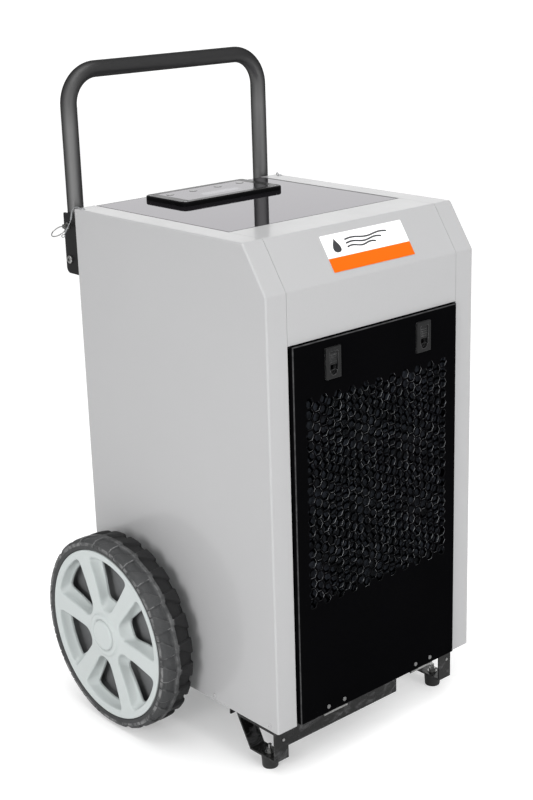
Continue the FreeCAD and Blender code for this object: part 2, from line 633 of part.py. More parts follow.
def foot_stud(x):
    """Stud, nut and washer."""
    return [cylinder(x, STUD_Y, STUD_Z, "z", STUD_R, CABINET_LIFT - 50.0),
            nut(x, STUD_Y, -BRACKET_DROP + 4.4, "z", 5.8, 5.0, STUD_R),
            ring(x, STUD_Y, -BRACKET_DROP + 3.0, "z", 8.0, STUD_R, 1.4)]


def cross_member():
    """Channel across the front, relieved under the hinges."""
    x0, x1, y0 = 36.2, 276.0, 18.0
    channel = fuse([box(x0, x1, y0, 20.0, -40.0, -0.9), box(x0, x1, y0, 44.0, -2.9, -0.9),
                    box(x0, x1, y0, 34.0, -40.0, -38.0)])
    channel = fillet(channel, 1.2,
                     lambda e: along(e, "x") and abs(e.Vertexes[0].Y - y0) < 1e-6)
    half = HINGE_LEN / 2 + 1
    return cut(channel, [hole(x, CROSS_BOLT_Y, -2, "z", 2.6, 4) for x in CROSS_BOLT_X]
               + [box(x - half, x + half, 17, 26, -1.6, 0) for x in HINGE_X])


export("foot_brackets", *[foot_bracket(x) for x in FOOT_X])
export("rubber_feet", *[rubber_foot(x) for x in FOOT_X])
export("foot_studs", *[piece for x in FOOT_X for piece in foot_stud(x)])
export("front_cross_member", cross_member())

# ---------------------------------------------------------------------------
# Wheels, built on the left side and mirrored for the right
# ---------------------------------------------------------------------------
TYRE_R, TYRE_W = 161.0, 61.5
TYRE_GAP = 21.5              # gap between the cabinet side and the tyre
RIM_R = 143.0
BUSH_R = 11.0
HUB_R = 38.0
HALF_W = TYRE_W / 2.0
WHEEL_X = -TYRE_GAP - HALF_W          # wheel centre plane
N_LUG = 24

# Turned outlines: radius, offset outwards from the wheel centre plane
TYRE = [(126.0, -23.8), (126.0, 23.8), (143.4, 23.8), (143.4, HALF_W - 1.0),
        (147.0, HALF_W), (TYRE_R - 5.0, HALF_W - 1.2), (TYRE_R - 1.8, HALF_W - 6.0),
        (TYRE_R, 13.0), (TYRE_R, -13.0), (TYRE_R - 1.8, -HALF_W + 6.0),
        (TYRE_R - 5.0, -HALF_W + 1.2), (147.0, -HALF_W), (143.4, -HALF_W + 1.0),
        (143.4, -23.8)]
RIM = [(BUSH_R, -24.0), (BUSH_R, 14.0), (26.0, 14.0), (26.0, 22.0), (HUB_R, 22.0),
       (60.0, 22.5), (118.0, 25.0), (124.0, 28.4), (136.0, 29.6), (RIM_R, 29.0),
       (RIM_R, 24.0), (125.8, 24.0), (125.8, -24.0), (RIM_R, -24.0), (RIM_R, -27.0),
       (121.0, -27.0), (121.0, 14.0), (60.0, 8.0), (34.0, 8.0), (26.0, -24.0)]
HUB_CAP = [(0.0, 33.6), (22.0, 33.0), (25.2, 31.0), (27.5, 30.4), (33.0, 31.4),
           (36.6, 29.4), (37.8, 22.3), (26.4, 22.3), (25.6, 22.3), (25.6, 16.0),
           (23.6, 16.0), (23.6, 26.0), (0.0, 29.0)]
# Rim window: radius, degrees from the window's middle
RIM_WINDOW = [(62.0, -9), (62.0, 9), (84.0, 16), (112.0, 19.5), (118.0, 14),
              (118.0, -14), (112.0, -19.5), (84.0, -16)]


def on_axle(x, radius, length):
    return cylinder(x, WHEEL_Y, WHEEL_Z, "x", radius, length)


def turned(outline):
    points = [Vector(WHEEL_X - offset, WHEEL_Y, WHEEL_Z + r) for r, offset in outline]
    face = Part.Face(Part.makePolygon(points + points[:1]))
    return face.revolve(Vector(0, WHEEL_Y, WHEEL_Z), AXES["x"], 360.0)


def tyre():
    """Tyre with slanted tread grooves, the two rows staggered by half a step."""
    origin = Vector(0, 0, 0)
    grooves = []
    for i in range(N_LUG):
        for sign, phase in ((1, 0.0), (-1, 0.5)):
            groove = box(0, 0.01 + HALF_W - 8.0, -2.2, 2.2, TYRE_R - 5.0, TYRE_R + 4)
            groove.rotate(origin, AXES["z"], 24.0 * sign)
            if sign < 0:
                groove = groove.mirror(origin, AXES["x"])
                groove.rotate(origin, AXES["z"], 48.0)
            groove.translate(Vector(WHEEL_X + 8.0 * sign, 0, 0))
            groove.rotate(origin, AXES["x"], 360.0 * (i + phase) / N_LUG)
            groove.translate(Vector(0, WHEEL_Y, WHEEL_Z))
            grooves.append(groove)
    return cut(turned(TYRE), grooves)


def rim():
    windows = []
    for i in range(6):
        outline = []
        for radius, spread in RIM_WINDOW:
            angle = math.radians(60 * i + 38 + spread)
            outline.append((WHEEL_Y + radius * math.cos(angle),
                            WHEEL_Z + radius * math.sin(angle)))
        windows.append(prism_x(outline, WHEEL_X - 45, WHEEL_X - 1.0))
    return cut(turned(RIM), windows)


def wheel_bush():
    bush = fuse([on_axle(WHEEL_X - 14.0, BUSH_R, 40.0), on_axle(WHEEL_X + 24.0, 16.0, 2.4)])
    return bush.cut(on_axle(WHEEL_X - 40, AXLE_R + RUN, 90))


def stub_axle():
    """Axle bar with a collar, a square mounting plate and a groove for the clip."""
    axle = fuse([on_axle(WHEEL_X - 21.0, AXLE_R, -WHEEL_X + 21.0 + 6.0),
                 on_axle(-5.0, 14.0, 4.9),
                 box(-3.2, -0.1, WHEEL_Y - 38, WHEEL_Y + 38, WHEEL_Z - 38, WHEEL_Z + 38)])
    axle = fillet(axle, 8.0, lambda e: along(e, "x", 2.0)
                  and abs(abs(e.Vertexes[0].Y - WHEEL_Y) - 38) < 1e-6)
    groove = ring(WHEEL_X - 17.0, WHEEL_Y, WHEEL_Z, "x", AXLE_R + 1, AXLE_R - 1.0, 1.3)
    return cut(axle, [hole(0, y, z, "x", 4.1) for y, z in AXLE_BOLTS] + [groove])


def axle_backing_plate():
    """Plate inside the cabinet wall."""
    plate = rounded_box(3.2, 7.2, WHEEL_Y - 50, WHEEL_Y + 50, WHEEL_Z - 50, WHEEL_Z + 50,
                        8.0, "x")
    return cut(plate, [hole(5, y, z, "x", 4.1) for y, z in AXLE_BOLTS]
               + [hole(5, WHEEL_Y, WHEEL_Z, "x", AXLE_R + 0.2)])


def axle_retainers():
    """Outer washer, inner washer and slotted clip."""
    washers = [ring(x, WHEEL_Y, WHEEL_Z, "x", radius, AXLE_R + 0.1, 1.5)
               for x, radius in ((WHEEL_X - 15.7, 15.0), (WHEEL_X + 26.6, 16.0))]
    clip = ring(WHEEL_X - 16.95, WHEEL_Y, WHEEL_Z, "x", 12.0, AXLE_R - 0.9, 1.1)
    clip = clip.cut(box(WHEEL_X - 20, WHEEL_X, WHEEL_Y - 5, WHEEL_Y + 5, WHEEL_Z, WHEEL_Z + 20))
    return washers + [clip]


export_pair("wheel_tyre", tyre())
export_pair("wheel_rim", rim())
export_pair("wheel_bush", wheel_bush())
export_pair("hub_cap", turned(HUB_CAP))
export("stub_axles", *both_sides([stub_axle(), axle_backing_plate()]))
export("axle_retainers", *both_sides(axle_retainers()))

# ---------------------------------------------------------------------------
# Folding handle, brackets, pivots and lock pins
# ---------------------------------------------------------------------------
TUBE_R, TUBE_WALL = 13.1, 2.0
HANDLE_TOP, HANDLE_BOTTOM = 958.5, 650.0
HANDLE_BEND = 53.0
LOCK_HOLE_R = 4.3
BRACKET_Z0, BRACKET_Z1 = 641.0, 739.0
BRACKET_BACK_Y = DEPTH + 36.5
RING_R, RING_WIRE_R = 12.5, 0.9


def handle_tube():
    left, right = HANDLE_X
    path = [(left, HANDLE_Y, HANDLE_BOTTOM), (left, HANDLE_Y, HANDLE_TOP),
            (right, HANDLE_Y, HANDLE_TOP), (right, HANDLE_Y, HANDLE_BOTTOM)]
    tube = pipe(path, [HANDLE_BEND] * 2, TUBE_R, TUBE_R - TUBE_WALL)
    return cut(tube, [cylinder(x - 20, HANDLE_Y, z, "x", radius, 40)
                      for z, radius in ((PIVOT_Z, PIVOT_R + RUN), (LOCK_Z, LOCK_HOLE_R))
                      for x in HANDLE_X])


def handle_bracket():
    """U-shaped bracket open to the back."""
    bracket = box(BRACKET_X0, BRACKET_X1, DEPTH, BRACKET_BACK_Y, BRACKET_Z0, BRACKET_Z1)
    bracket = bracket.cut(box(BRACKET_X0 + BRACKET_SHEET, BRACKET_X1 - BRACKET_SHEET,
                              DEPTH + BRACKET_SHEET, DEPTH + 40,
                              BRACKET_Z0 - 1, BRACKET_Z1 + 1))

    def back_edge(edge):
        return along(edge, "x") and abs(edge.Vertexes[0].Y - BRACKET_BACK_Y) < 1e-6

    bracket = fillet(bracket, 9.0, lambda e: back_edge(e) and e.Vertexes[0].Z < 650)
    bracket = fillet(bracket, 3.0, lambda e: back_edge(e) and e.Vertexes[0].Z > 700)
    return cut(bracket, [cylinder(-5, HANDLE_Y, PIVOT_Z, "x", PIVOT_R, 60),
                         cylinder(-5, HANDLE_Y, LOCK_Z, "x", LOCK_HOLE_R, 60)]
               + [hole(HANDLE_X[0], DEPTH, z, "y", 3.1) for z in BRACKET_BOLT_Z])


def handle_bolts():
    """Pivot bolt with its nut, and the bracket bolts."""
    return [screw(BRACKET_X0, HANDLE_Y, PIVOT_Z, "x", -1, PIVOT_BOLT),
            nut(BRACKET_X1, HANDLE_Y, PIVOT_Z, "x", 7.5, 6.5, PIVOT_R)] + [
        screw(HANDLE_X[0], DEPTH + BRACKET_SHEET, z, "y", 1, BRACKET_BOLT)
        for z in BRACKET_BOLT_Z]


def lock_pin():
    """Collared pin with a flat eye, and the pull ring hanging outwards from it."""
    eye_x = -6.0
    pin = fuse([cylinder(-3.0, HANDLE_Y, LOCK_Z, "x", 4.0, 8.5),
                cylinder(0.3, HANDLE_Y, LOCK_Z, "x", 5.2, 2.1),
                box(-9.0, -2.5, HANDLE_Y - 1.25, HANDLE_Y + 1.25, LOCK_Z - 3.6, LOCK_Z + 3.6)])
    pin = fillet(pin, 2.5, lambda e: along(e, "y") and e.Vertexes[0].X < -8.9)
    pin = pin.cut(cylinder(eye_x, HANDLE_Y - 10, LOCK_Z, "y", 1.6, 20))
    hang = Vector(-0.86, 0, -0.51).normalize()
    pull_ring = Part.makeTorus(RING_R, RING_WIRE_R,
                               Vector(eye_x, HANDLE_Y, LOCK_Z) + hang * RING_R,
                               Vector(-hang.z, 0, hang.x))
    return [pin, pull_ring]


def retaining_cable():
    """Wire from an eyelet at the side panel's top rear corner towards the ring."""
    wire = pipe([(-1.8, 441.0, 741.0), (-3.0, 449.0, 739.0), (-6.5, 456.5, 729.0),
                 (-8.5, 460.0, 721.0)], [6.0, 6.0], 0.7)
    return fuse([cylinder(-1.4, 441.0, 741.0, "x", 4.0, 1.3), wire])


export("handle_tube", handle_tube())
export("handle_brackets", *both_sides([handle_bracket()]))
export("handle_bolts", *both_sides(handle_bolts()))
export_pair("lock_pin", *lock_pin())
export("retaining_cables", *both_sides([retaining_cable()]))

# ---------------------------------------------------------------------------
# Refrigeration and air system inside
# ---------------------------------------------------------------------------
COIL_X0, COIL_X1, COIL_Z0, COIL_Z1 = 62.0, 366.0, 168.0, 548.0
COIL_DEPTH = 44.0
N_FINS = 38
EVAPORATOR_Y, CONDENSER_Y = 30.0, 88.0
OUTLET_X, OUTLET_Y = 330.0, 120.0     # drip tray outlet
FAN_X, FAN_Z, FAN_R = MID_X, 430.0, 120.0
BULKHEAD_Y = 168.0
SPIDER_Y = BULKHEAD_Y + 43.0          # arms that carry the fan motor
COMP_Z = 22.0
ACCUM_X = COMP_X + 88.0


def coil(y0):
    """Block grooved from the front into fins, between two end plates."""
    y1 = y0 + COIL_DEPTH
    pitch = (COIL_X1 - COIL_X0) / N_FINS
    grooves = []
    for i in range(N_FINS):
        x = COIL_X0 + i * pitch
        grooves.append(box(x + 2.0, x + pitch, y0 - 1, y0 + COIL_DEPTH * 0.42,
                           COIL_Z0 + 3, COIL_Z1 - 3))
    block = cut(box(COIL_X0, COIL_X1, y0, y1, COIL_Z0, COIL_Z1), grooves)
    return fuse([block] + [box(x, x + 2.0, y0 - 4, y1 + 4, COIL_Z0 - 6, COIL_Z1 + 6)
                           for x in (COIL_X0 - 2.0, COIL_X1)])


def drip_tray():
    """Tray under both coils with an outlet spout, on two upright plates."""
    tray = box(48.0, 380.0, 20.0, 146.0, 128.0, 158.0)
    tray = tray.cut(box(50.0, 378.0, 22.0, 144.0, 130.0, 160.0))
    tray = fuse([tray, cylinder(OUTLET_X, OUTLET_Y, 112.0, "z", 7.0, 17.0)])
    tray = tray.cut(cylinder(OUTLET_X, OUTLET_Y, 100.0, "z", 5.0, 40.0))
    return fuse([tray] + [box(x, x + 2.0, 24.0, 142.0, 1.8, 128.0) for x in (60.0, 366.0)])


def drain_hose():
    return pipe([(OUTLET_X, OUTLET_Y, 116.0), (OUTLET_X, OUTLET_Y, 84.0),
                 (OUTLET_X, 300.0, 66.0), (SPIGOT_X, 380.0, SPIGOT_Z),
                 (SPIGOT_X, 436.0, SPIGOT_Z)], [22.0, 60.0, 40.0], 9.5, 7.1)


def drain_spigot():
    # start y, radius, length
    steps = [(424.0, 7.0, DEPTH + 28.0 - 424.0), (DEPTH, 13.0, 3.0),
             (DEPTH - 4.6, 9.0, 4.6), (DEPTH - 8.4, 12.0, 3.0)]
    spigot = fuse([cylinder(SPIGOT_X, y, SPIGOT_Z, "y", r, length) for y, r, length in steps])
    return spigot.cut(cylinder(SPIGOT_X, 400.0, SPIGOT_Z, "y", 5.0, 100.0))


def fan_shroud():
    """Bulkhead with a duct ring and four arms to the motor ring."""
    bulkhead = box(8.0, WIDTH - 8.0, BULKHEAD_Y, BULKHEAD_Y + 1.5, 160.0, 700.0)
    # fan opening and two pipe holes: x, z, radius
    openings = ((FAN_X, FAN_Z, FAN_R + 6), (36.0, 300.0, 6.0), (392.0, 530.0, 7.0))
    bulkhead = cut(bulkhead, [hole(x, BULKHEAD_Y, z, "y", r, 10) for x, z, r in openings])
    duct = ring(FAN_X, BULKHEAD_Y, FAN_Z, "y", FAN_R + 7.5, FAN_R + 6, 40.0)
    arms = []
    for i in range(4):
        for arm in (box(-4, 4, 0, 3.0, 33.0, FAN_R + 7.0),
                    box(-4, 4, -4.0, 3.0, FAN_R + 6.2, FAN_R + 9.2)):
            arm.rotate(Vector(0, 0, 0), AXES["y"], 45 + 90 * i)
            arm.translate(Vector(FAN_X, SPIDER_Y, FAN_Z))
            arms.append(arm)
    motor_ring = ring(FAN_X, SPIDER_Y, FAN_Z, "y", 38.0, 30.0, 3.0)
    return fuse([bulkhead, duct] + arms + [motor_ring])


def fan_impeller():
    tip_r = FAN_R - 2.0
    blades = []
    for i in range(5):
        blade = box(-30.0, 30.0, -1.2, 1.2, 24.0, tip_r)
        blade.rotate(Vector(0, 0, 0), AXES["z"], 28.0)
        blade = blade.common(cylinder(0, -40, 0, "y", tip_r, 80))
        blade.rotate(Vector(0, 0, 0), AXES["y"], 72.0 * i)
        blade.translate(Vector(FAN_X, BULKHEAD_Y + 21.0, FAN_Z))
        blades.append(blade)
    impeller = fuse([cylinder(FAN_X, BULKHEAD_Y + 8.0, FAN_Z, "y", 30.0, 26.0)] + blades)
    return impeller.cut(cylinder(FAN_X, BULKHEAD_Y, FAN_Z, "y", 4.0 + RUN, 60.0))


def fan_motor():
    # body, front boss and shaft: start behind the bulkhead, radius, length
    steps = [(46.2, 42.0, 62.0), (38.0, 28.0, 9.0), (10.0, 4.0, 40.0)]
    return fuse([cylinder(FAN_X, BULKHEAD_Y + y, FAN_Z, "y", r, length)
                 for y, r, length in steps])


def compressor():
    can = cylinder(COMP_X, COMP_Y, COMP_Z + 3.0, "z", 55.0, 180.0)
    can = fillet(can, 22.0, lambda e: is_circle(e) and e.Vertexes[0].Z > COMP_Z + 100)
    can = fillet(can, 10.0, lambda e: is_circle(e) and e.Vertexes[0].Z < COMP_Z + 10)
    can = fuse([can, cylinder(COMP_X, COMP_Y, COMP_Z, "z", 77.0, 3.5),
                cylinder(COMP_X, COMP_Y, COMP_Z + 180, "z", 20.0, 14.0)])
    return cut(can, [hole(x, y, COMP_Z, "z", 7.0, 9) for x, y in COMP_MOUNTS])


def accumulator():
    return fillet(cylinder(ACCUM_X, COMP_Y, COMP_Z + 20.0, "z", 24.0, 140.0), 12.0, is_circle)


def compressor_mount(x, y):
    """Rubber grommet and its bolt."""
    grommet = fuse([cylinder(x, y, 1.8, "z", 11.0, COMP_Z - 1.9),
                    cylinder(x, y, COMP_Z - 0.2, "z", 6.8, 4.5),
                    cylinder(x, y, COMP_Z + 3.7, "z", 9.5, 3.0)])
    grommet = grommet.cut(cylinder(x, y, 0, "z", 3.1, 40))
    bolt = fuse([cylinder(x, y, -0.4, "z", 3.0, 34.0),
                 cylinder(x, y, COMP_Z + 6.8, "z", 7.5, 2.5)])
    return [grommet, bolt]


def refrigerant_pipes():
    """Compressor to condenser, condenser to evaporator, then back by the accumulator."""
    return [
        pipe([(COMP_X, COMP_Y, COMP_Z + 194.2), (COMP_X, COMP_Y, 300.0), (36.0, COMP_Y, 300.0),
              (36.0, 110.0, 300.0), (36.0, 110.0, 530.0), (59.8, 110.0, 530.0)],
             [18.0, 18.0, 18.0, 10.0], 4.0),
        pipe([(59.8, 110.0, 190.0), (46.0, 110.0, 190.0), (46.0, 52.0, 190.0),
              (59.8, 52.0, 190.0)], [6.0, 6.0], 3.0),
        pipe([(368.2, 52.0, 530.0), (392.0, 52.0, 530.0), (392.0, 200.0, 530.0),
              (392.0, 200.0, 230.0), (ACCUM_X, COMP_Y, 230.0),
              (ACCUM_X, COMP_Y, COMP_Z + 160.2)], [12.0, 18.0, 18.0, 18.0], 5.0),
        pipe([(ACCUM_X, COMP_Y, COMP_Z + 19.8), (ACCUM_X, COMP_Y, COMP_Z + 9.0),
              (COMP_X + 55.4, COMP_Y, COMP_Z + 9.0)], [6.0], 3.5)]


def electrical_box():
    """Open-backed box on two struts, with a relay board and a round capacitor."""
    y = BULKHEAD_Y
    case = rounded_box(270.0, 400.0, y + 60.0, y + 140.0, 590.0, 690.0, 4.0, "y")
    case = case.cut(box(272.5, 397.5, y + 62.5, y + 142.0, 592.5, 687.5))
    case = fuse([case] + [box(x, x + 8.0, y + 1.5, y + 61.0, 600.0, 604.0)
                          for x in (300.0, 362.0)])
    relays = fuse([box(330.0, 390.0, y + 64.0, y + 68.0, 600.0, 680.0)]
                  + [box(x, x + 18.0, y + 68.0, y + 84.0, 612.0, 640.0)
                     for x in (338.0, 362.0)])
    return [case, relays, cylinder(300.0, y + 70.0, 616.0, "y", 18.0, 60.0)]


export("evaporator", coil(EVAPORATOR_Y))
export("condenser", coil(CONDENSER_Y))
export("drip_tray", drip_tray())
export("drain_hose", drain_hose())
export("drain_spigot", drain_spigot())
export("fan_shroud", fan_shroud())
export("fan_impeller", fan_impeller())
export("fan_motor", fan_motor())
export("compressor", compressor(), accumulator())
export("compressor_mounts", *[p for x, y in COMP_MOUNTS for p in compressor_mount(x, y)])
export("refrigerant_pipes", *refrigerant_pipes())
export("electrical_box", *electrical_box())

# ---------------------------------------------------------------------------
# Power cord, hung in loops on two hooks
# ---------------------------------------------------------------------------
CORD_R = 3.9
LAYER_1, LAYER_2, LAYER_3 = DEPTH + 7.1, DEPTH + 15.0, DEPTH + 22.9     # y of each loop
LOOP_X0, LOOP_X1 = 150.0, 285.0
LOOP_TOP, LOOP_BOTTOM = 261.1, 124.0
PLUG_X, PLUG_Y, PLUG_Z = LOOP_X0, DEPTH + 17.5, LOOP_BOTTOM - 30.0


def cord():
    path = [(GLAND_X, DEPTH - 10.0, GLAND_Z), (GLAND_X, LAYER_1, GLAND_Z),
            (GLAND_X, LAYER_1, LOOP_BOTTOM), (LOOP_X0, LAYER_1, LOOP_BOTTOM),
            (LOOP_X0, LAYER_1, LOOP_TOP), (LOOP_X1, LAYER_1 + 1.4, LOOP_TOP),
            (LOOP_X1, LAYER_2, LOOP_BOTTOM), (LOOP_X0, LAYER_2, LOOP_BOTTOM),
            (LOOP_X0, LAYER_2, LOOP_TOP), (LOOP_X1, LAYER_2 + 1.4, LOOP_TOP),
            (LOOP_X1, LAYER_3, LOOP_BOTTOM), (LOOP_X0, LAYER_3, LOOP_BOTTOM),
            (PLUG_X, PLUG_Y, PLUG_Z)]
    return pipe(path, [8.0] + [16.0] * 9 + [12.0], CORD_R)


def plug():
    """Plug hanging pins down, with a socket for the cord's end."""
    body = fuse([Part.makeCone(9.0, 5.5, 14.0, Vector(PLUG_X, PLUG_Y, PLUG_Z - 14.0)),
                 cylinder(PLUG_X, PLUG_Y, PLUG_Z - 50.0, "z", 15.0, 36.0)])
    body = fillet(body, 3.0, lambda e: is_circle(e) and abs(e.Curve.Radius - 15.0) < 1e-6)
    body = fuse([body] + [cylinder(PLUG_X + side, PLUG_Y, PLUG_Z - 68.0, "z", 2.4, 18.0)
                          for side in (-9.5, 9.5)])
    return body.cut(cylinder(PLUG_X, PLUG_Y, PLUG_Z - 2.2, "z", CORD_R + 0.05, 10.0))


def cord_gland():
    gland = fuse([cylinder(GLAND_X, DEPTH - 6.0, GLAND_Z, "y", 8.0, 12.0),
                  cylinder(GLAND_X, DEPTH, GLAND_Z, "y", 12.0, 4.0)])
    return gland.cut(cylinder(GLAND_X, DEPTH - 20, GLAND_Z, "y", 4.3, 60))


def cord_hook(x, z):
    x0, x1 = x - 9, x + 9
    hook = fuse([rounded_box(x0, x1, DEPTH, DEPTH + 3.0, z - 14, z + 22, 3.0, "y"),
                 box(x0, x1, DEPTH, DEPTH + 30.0, z + 4, z + 7),
                 box(x0, x1, DEPTH + 27.0, DEPTH + 30.0, z + 4, z + 22)])
    return hook.cut(hole(x, DEPTH, z - HOOK_SCREW_DROP, "y", 2.1))


export("power_cord", cord(), plug(), cord_gland())
export("cord_hooks", *[cord_hook(x, z) for x, z in HOOKS])


# ---------------------------------------------------------------------------
# Screws and bolts
# ---------------------------------------------------------------------------
def panel_screws():
    screws = both_sides([screw(0.0, y, z, "x", -1, PANEL_SCREW) for y, z in SIDE_SCREWS])
    screws += [screw(x, DEPTH - 0.2, z, "y", 1, PANEL_SCREW) for x, z in REAR_SCREWS]
    screws += [screw(x, DEPTH + 3.0, z - HOOK_SCREW_DROP, "y", 1, HOOK_SCREW)
               for x, z in HOOKS]
    screws += [screw(x, y, CONTROL_Z1 - 2.4, "z", 1, CONTROL_SCREW) for x, y in CONTROL_POSTS]
    return screws


def chassis_bolts():
    bolts = [screw(-3.2, y, z, "x", -1, AXLE_BOLT) for y, z in AXLE_BOLTS]
    bolts += [nut(7.2, y, z, "x", 7.5, 6.0, 4.0) for y, z in AXLE_BOLTS]
    bolts = both_sides(bolts)
    bolts += [screw(x, y, -3.9, "z", -1, FOOT_BOLT) for x in FOOT_X for y in FOOT_BOLT_Y]
    bolts += [screw(x, CROSS_BOLT_Y, -2.9, "z", -1, CROSS_BOLT) for x in CROSS_BOLT_X]
    bolts += [screw(x, y, HINGE_Z, "z", -1, HINGE_SCREW, socket=False)
              for x, y in HINGE_SCREWS]
    bolts += [screw(x + 4.0, 18.0, FOOT_SIDE_SCREW_Z, "y", -1, FOOT_SIDE_SCREW, socket=False)
              for x in FOOT_X]
    return bolts


export("panel_screws", *panel_screws())
export("chassis_bolts", *chassis_bolts())
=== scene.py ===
"""Looks, meshes and studio for a wheeled cabinet with a sloping front edge and a glass top.

Frame: metres, +Z up, front towards -Y, left towards -X, floor at z = 0. Places on the cabinet
are in millimetres from its lower front left corner and go through place().
"""
import json
import math

import bpy
import bmesh
import numpy as np
from mathutils import Matrix, Vector


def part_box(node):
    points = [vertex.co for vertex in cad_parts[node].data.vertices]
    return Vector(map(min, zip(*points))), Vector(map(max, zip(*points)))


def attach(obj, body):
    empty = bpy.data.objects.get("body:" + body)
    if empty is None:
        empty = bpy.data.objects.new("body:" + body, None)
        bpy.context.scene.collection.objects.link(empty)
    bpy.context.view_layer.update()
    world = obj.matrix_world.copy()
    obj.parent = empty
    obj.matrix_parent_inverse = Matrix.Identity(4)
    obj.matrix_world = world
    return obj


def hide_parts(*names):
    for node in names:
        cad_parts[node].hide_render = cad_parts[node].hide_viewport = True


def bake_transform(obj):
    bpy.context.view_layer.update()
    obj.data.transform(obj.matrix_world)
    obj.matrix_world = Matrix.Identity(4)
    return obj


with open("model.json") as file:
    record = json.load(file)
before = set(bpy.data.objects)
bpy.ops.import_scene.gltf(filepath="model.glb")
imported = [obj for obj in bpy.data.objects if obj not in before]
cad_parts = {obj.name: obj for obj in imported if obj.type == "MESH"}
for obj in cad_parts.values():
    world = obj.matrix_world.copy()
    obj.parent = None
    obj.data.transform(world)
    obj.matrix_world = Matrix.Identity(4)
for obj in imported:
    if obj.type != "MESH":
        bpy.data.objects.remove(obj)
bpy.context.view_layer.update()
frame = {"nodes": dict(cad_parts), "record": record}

scene = bpy.context.scene
NODES = frame["nodes"]
SLOTS = {part["node"]: part["material_slot"] for part in frame["record"]["subparts"]}

# Frame origin, in mm from the lower front left cabinet corner
ORIGIN_X, ORIGIN_Y, ORIGIN_Z = 215.0, 239.3, -81.0

# Front slope and name plate, in cabinet mm
SLOPE_FOOT_Z, SLOPE_TOP_Z = 678.4, 749.0
SLOPE_RISE = SLOPE_TOP_Z - SLOPE_FOOT_Z
SLOPE_RUN = 46.1
SLOPE = math.atan2(SLOPE_RISE, SLOPE_RUN)
PLATE_START_Y = 6.9
PLATE_HEIGHT = 57.5
ORANGE_HEIGHT = 21.9

# Wheels: radii and outward offsets in mm, wheel centre in metres
TYRE_RADIUS = 161.0
WHEEL_X = 0.26725
WHEEL_Y = (327.0 - ORIGIN_Y) / 1000.0
WHEEL_Z = TYRE_RADIUS / 1000.0


def place(x, y, z):
    """A point in cabinet mm, moved to the frame."""
    return Vector(((x - ORIGIN_X) / 1000.0, (y - ORIGIN_Y) / 1000.0, (z - ORIGIN_Z) / 1000.0))


def on_slope(x, along, height):
    """x across the cabinet, mm up the slope from the lower plate edge, mm above the slope."""
    c, s = math.cos(SLOPE), math.sin(SLOPE)
    start_z = SLOPE_FOOT_Z + PLATE_START_Y * SLOPE_RISE / SLOPE_RUN
    return place(x, PLATE_START_Y + along * c - height * s, start_z + along * s + height * c)


# ---------------------------------------------------------------------------
# Node helpers
# ---------------------------------------------------------------------------
class Nodes:
    """Short ways to add nodes to one emptied node tree."""

    def __init__(self, tree):
        self.tree = tree
        tree.nodes.clear()

    def node(self, kind, **settings):
        node = self.tree.nodes.new(kind)
        for key, value in settings.items():
            setattr(node, key, value)
        return node

    def feed(self, socket, value):
        """Link an output to the socket, or store a plain value in it."""
        if isinstance(value, bpy.types.NodeSocket):
            self.tree.links.new(value, socket)
        else:
            socket.default_value = value

    def remap(self, value, span=(0.3, 0.7), to=(0.0, 1.0), smooth=False):
        """Map a span of values to another, clamped. The default span suits noise."""
        node = self.node("ShaderNodeMapRange", clamp=True)
        if smooth:
            node.interpolation_type = "SMOOTHSTEP"
        self.feed(node.inputs["Value"], value)
        for key, limit in zip(("From Min", "From Max", "To Min", "To Max"), (*span, *to)):
            self.feed(node.inputs[key], limit)
        return node.outputs["Result"]

    def math(self, operation, first, second=0.0, third=0.0):
        """A math node; an input given as None keeps Blender's default."""
        node = self.node("ShaderNodeMath", operation=operation)
        for socket, value in zip(node.inputs, (first, second, third)):
            if value is not None:
                self.feed(socket, value)
        return node.outputs[0]

    def product(self, first, *others):
        for other in others:
            first = self.math("MULTIPLY", first, other)
        return first

    def vector_math(self, operation, first, second):
        node = self.node("ShaderNodeVectorMath", operation=operation)
        self.feed(node.inputs[0], first)
        self.feed(node.inputs[1], second)
        return node.outputs["Value"]

    def separate(self, vector):
        node = self.node("ShaderNodeSeparateXYZ")
        self.feed(node.inputs[0], vector)
        return node.outputs


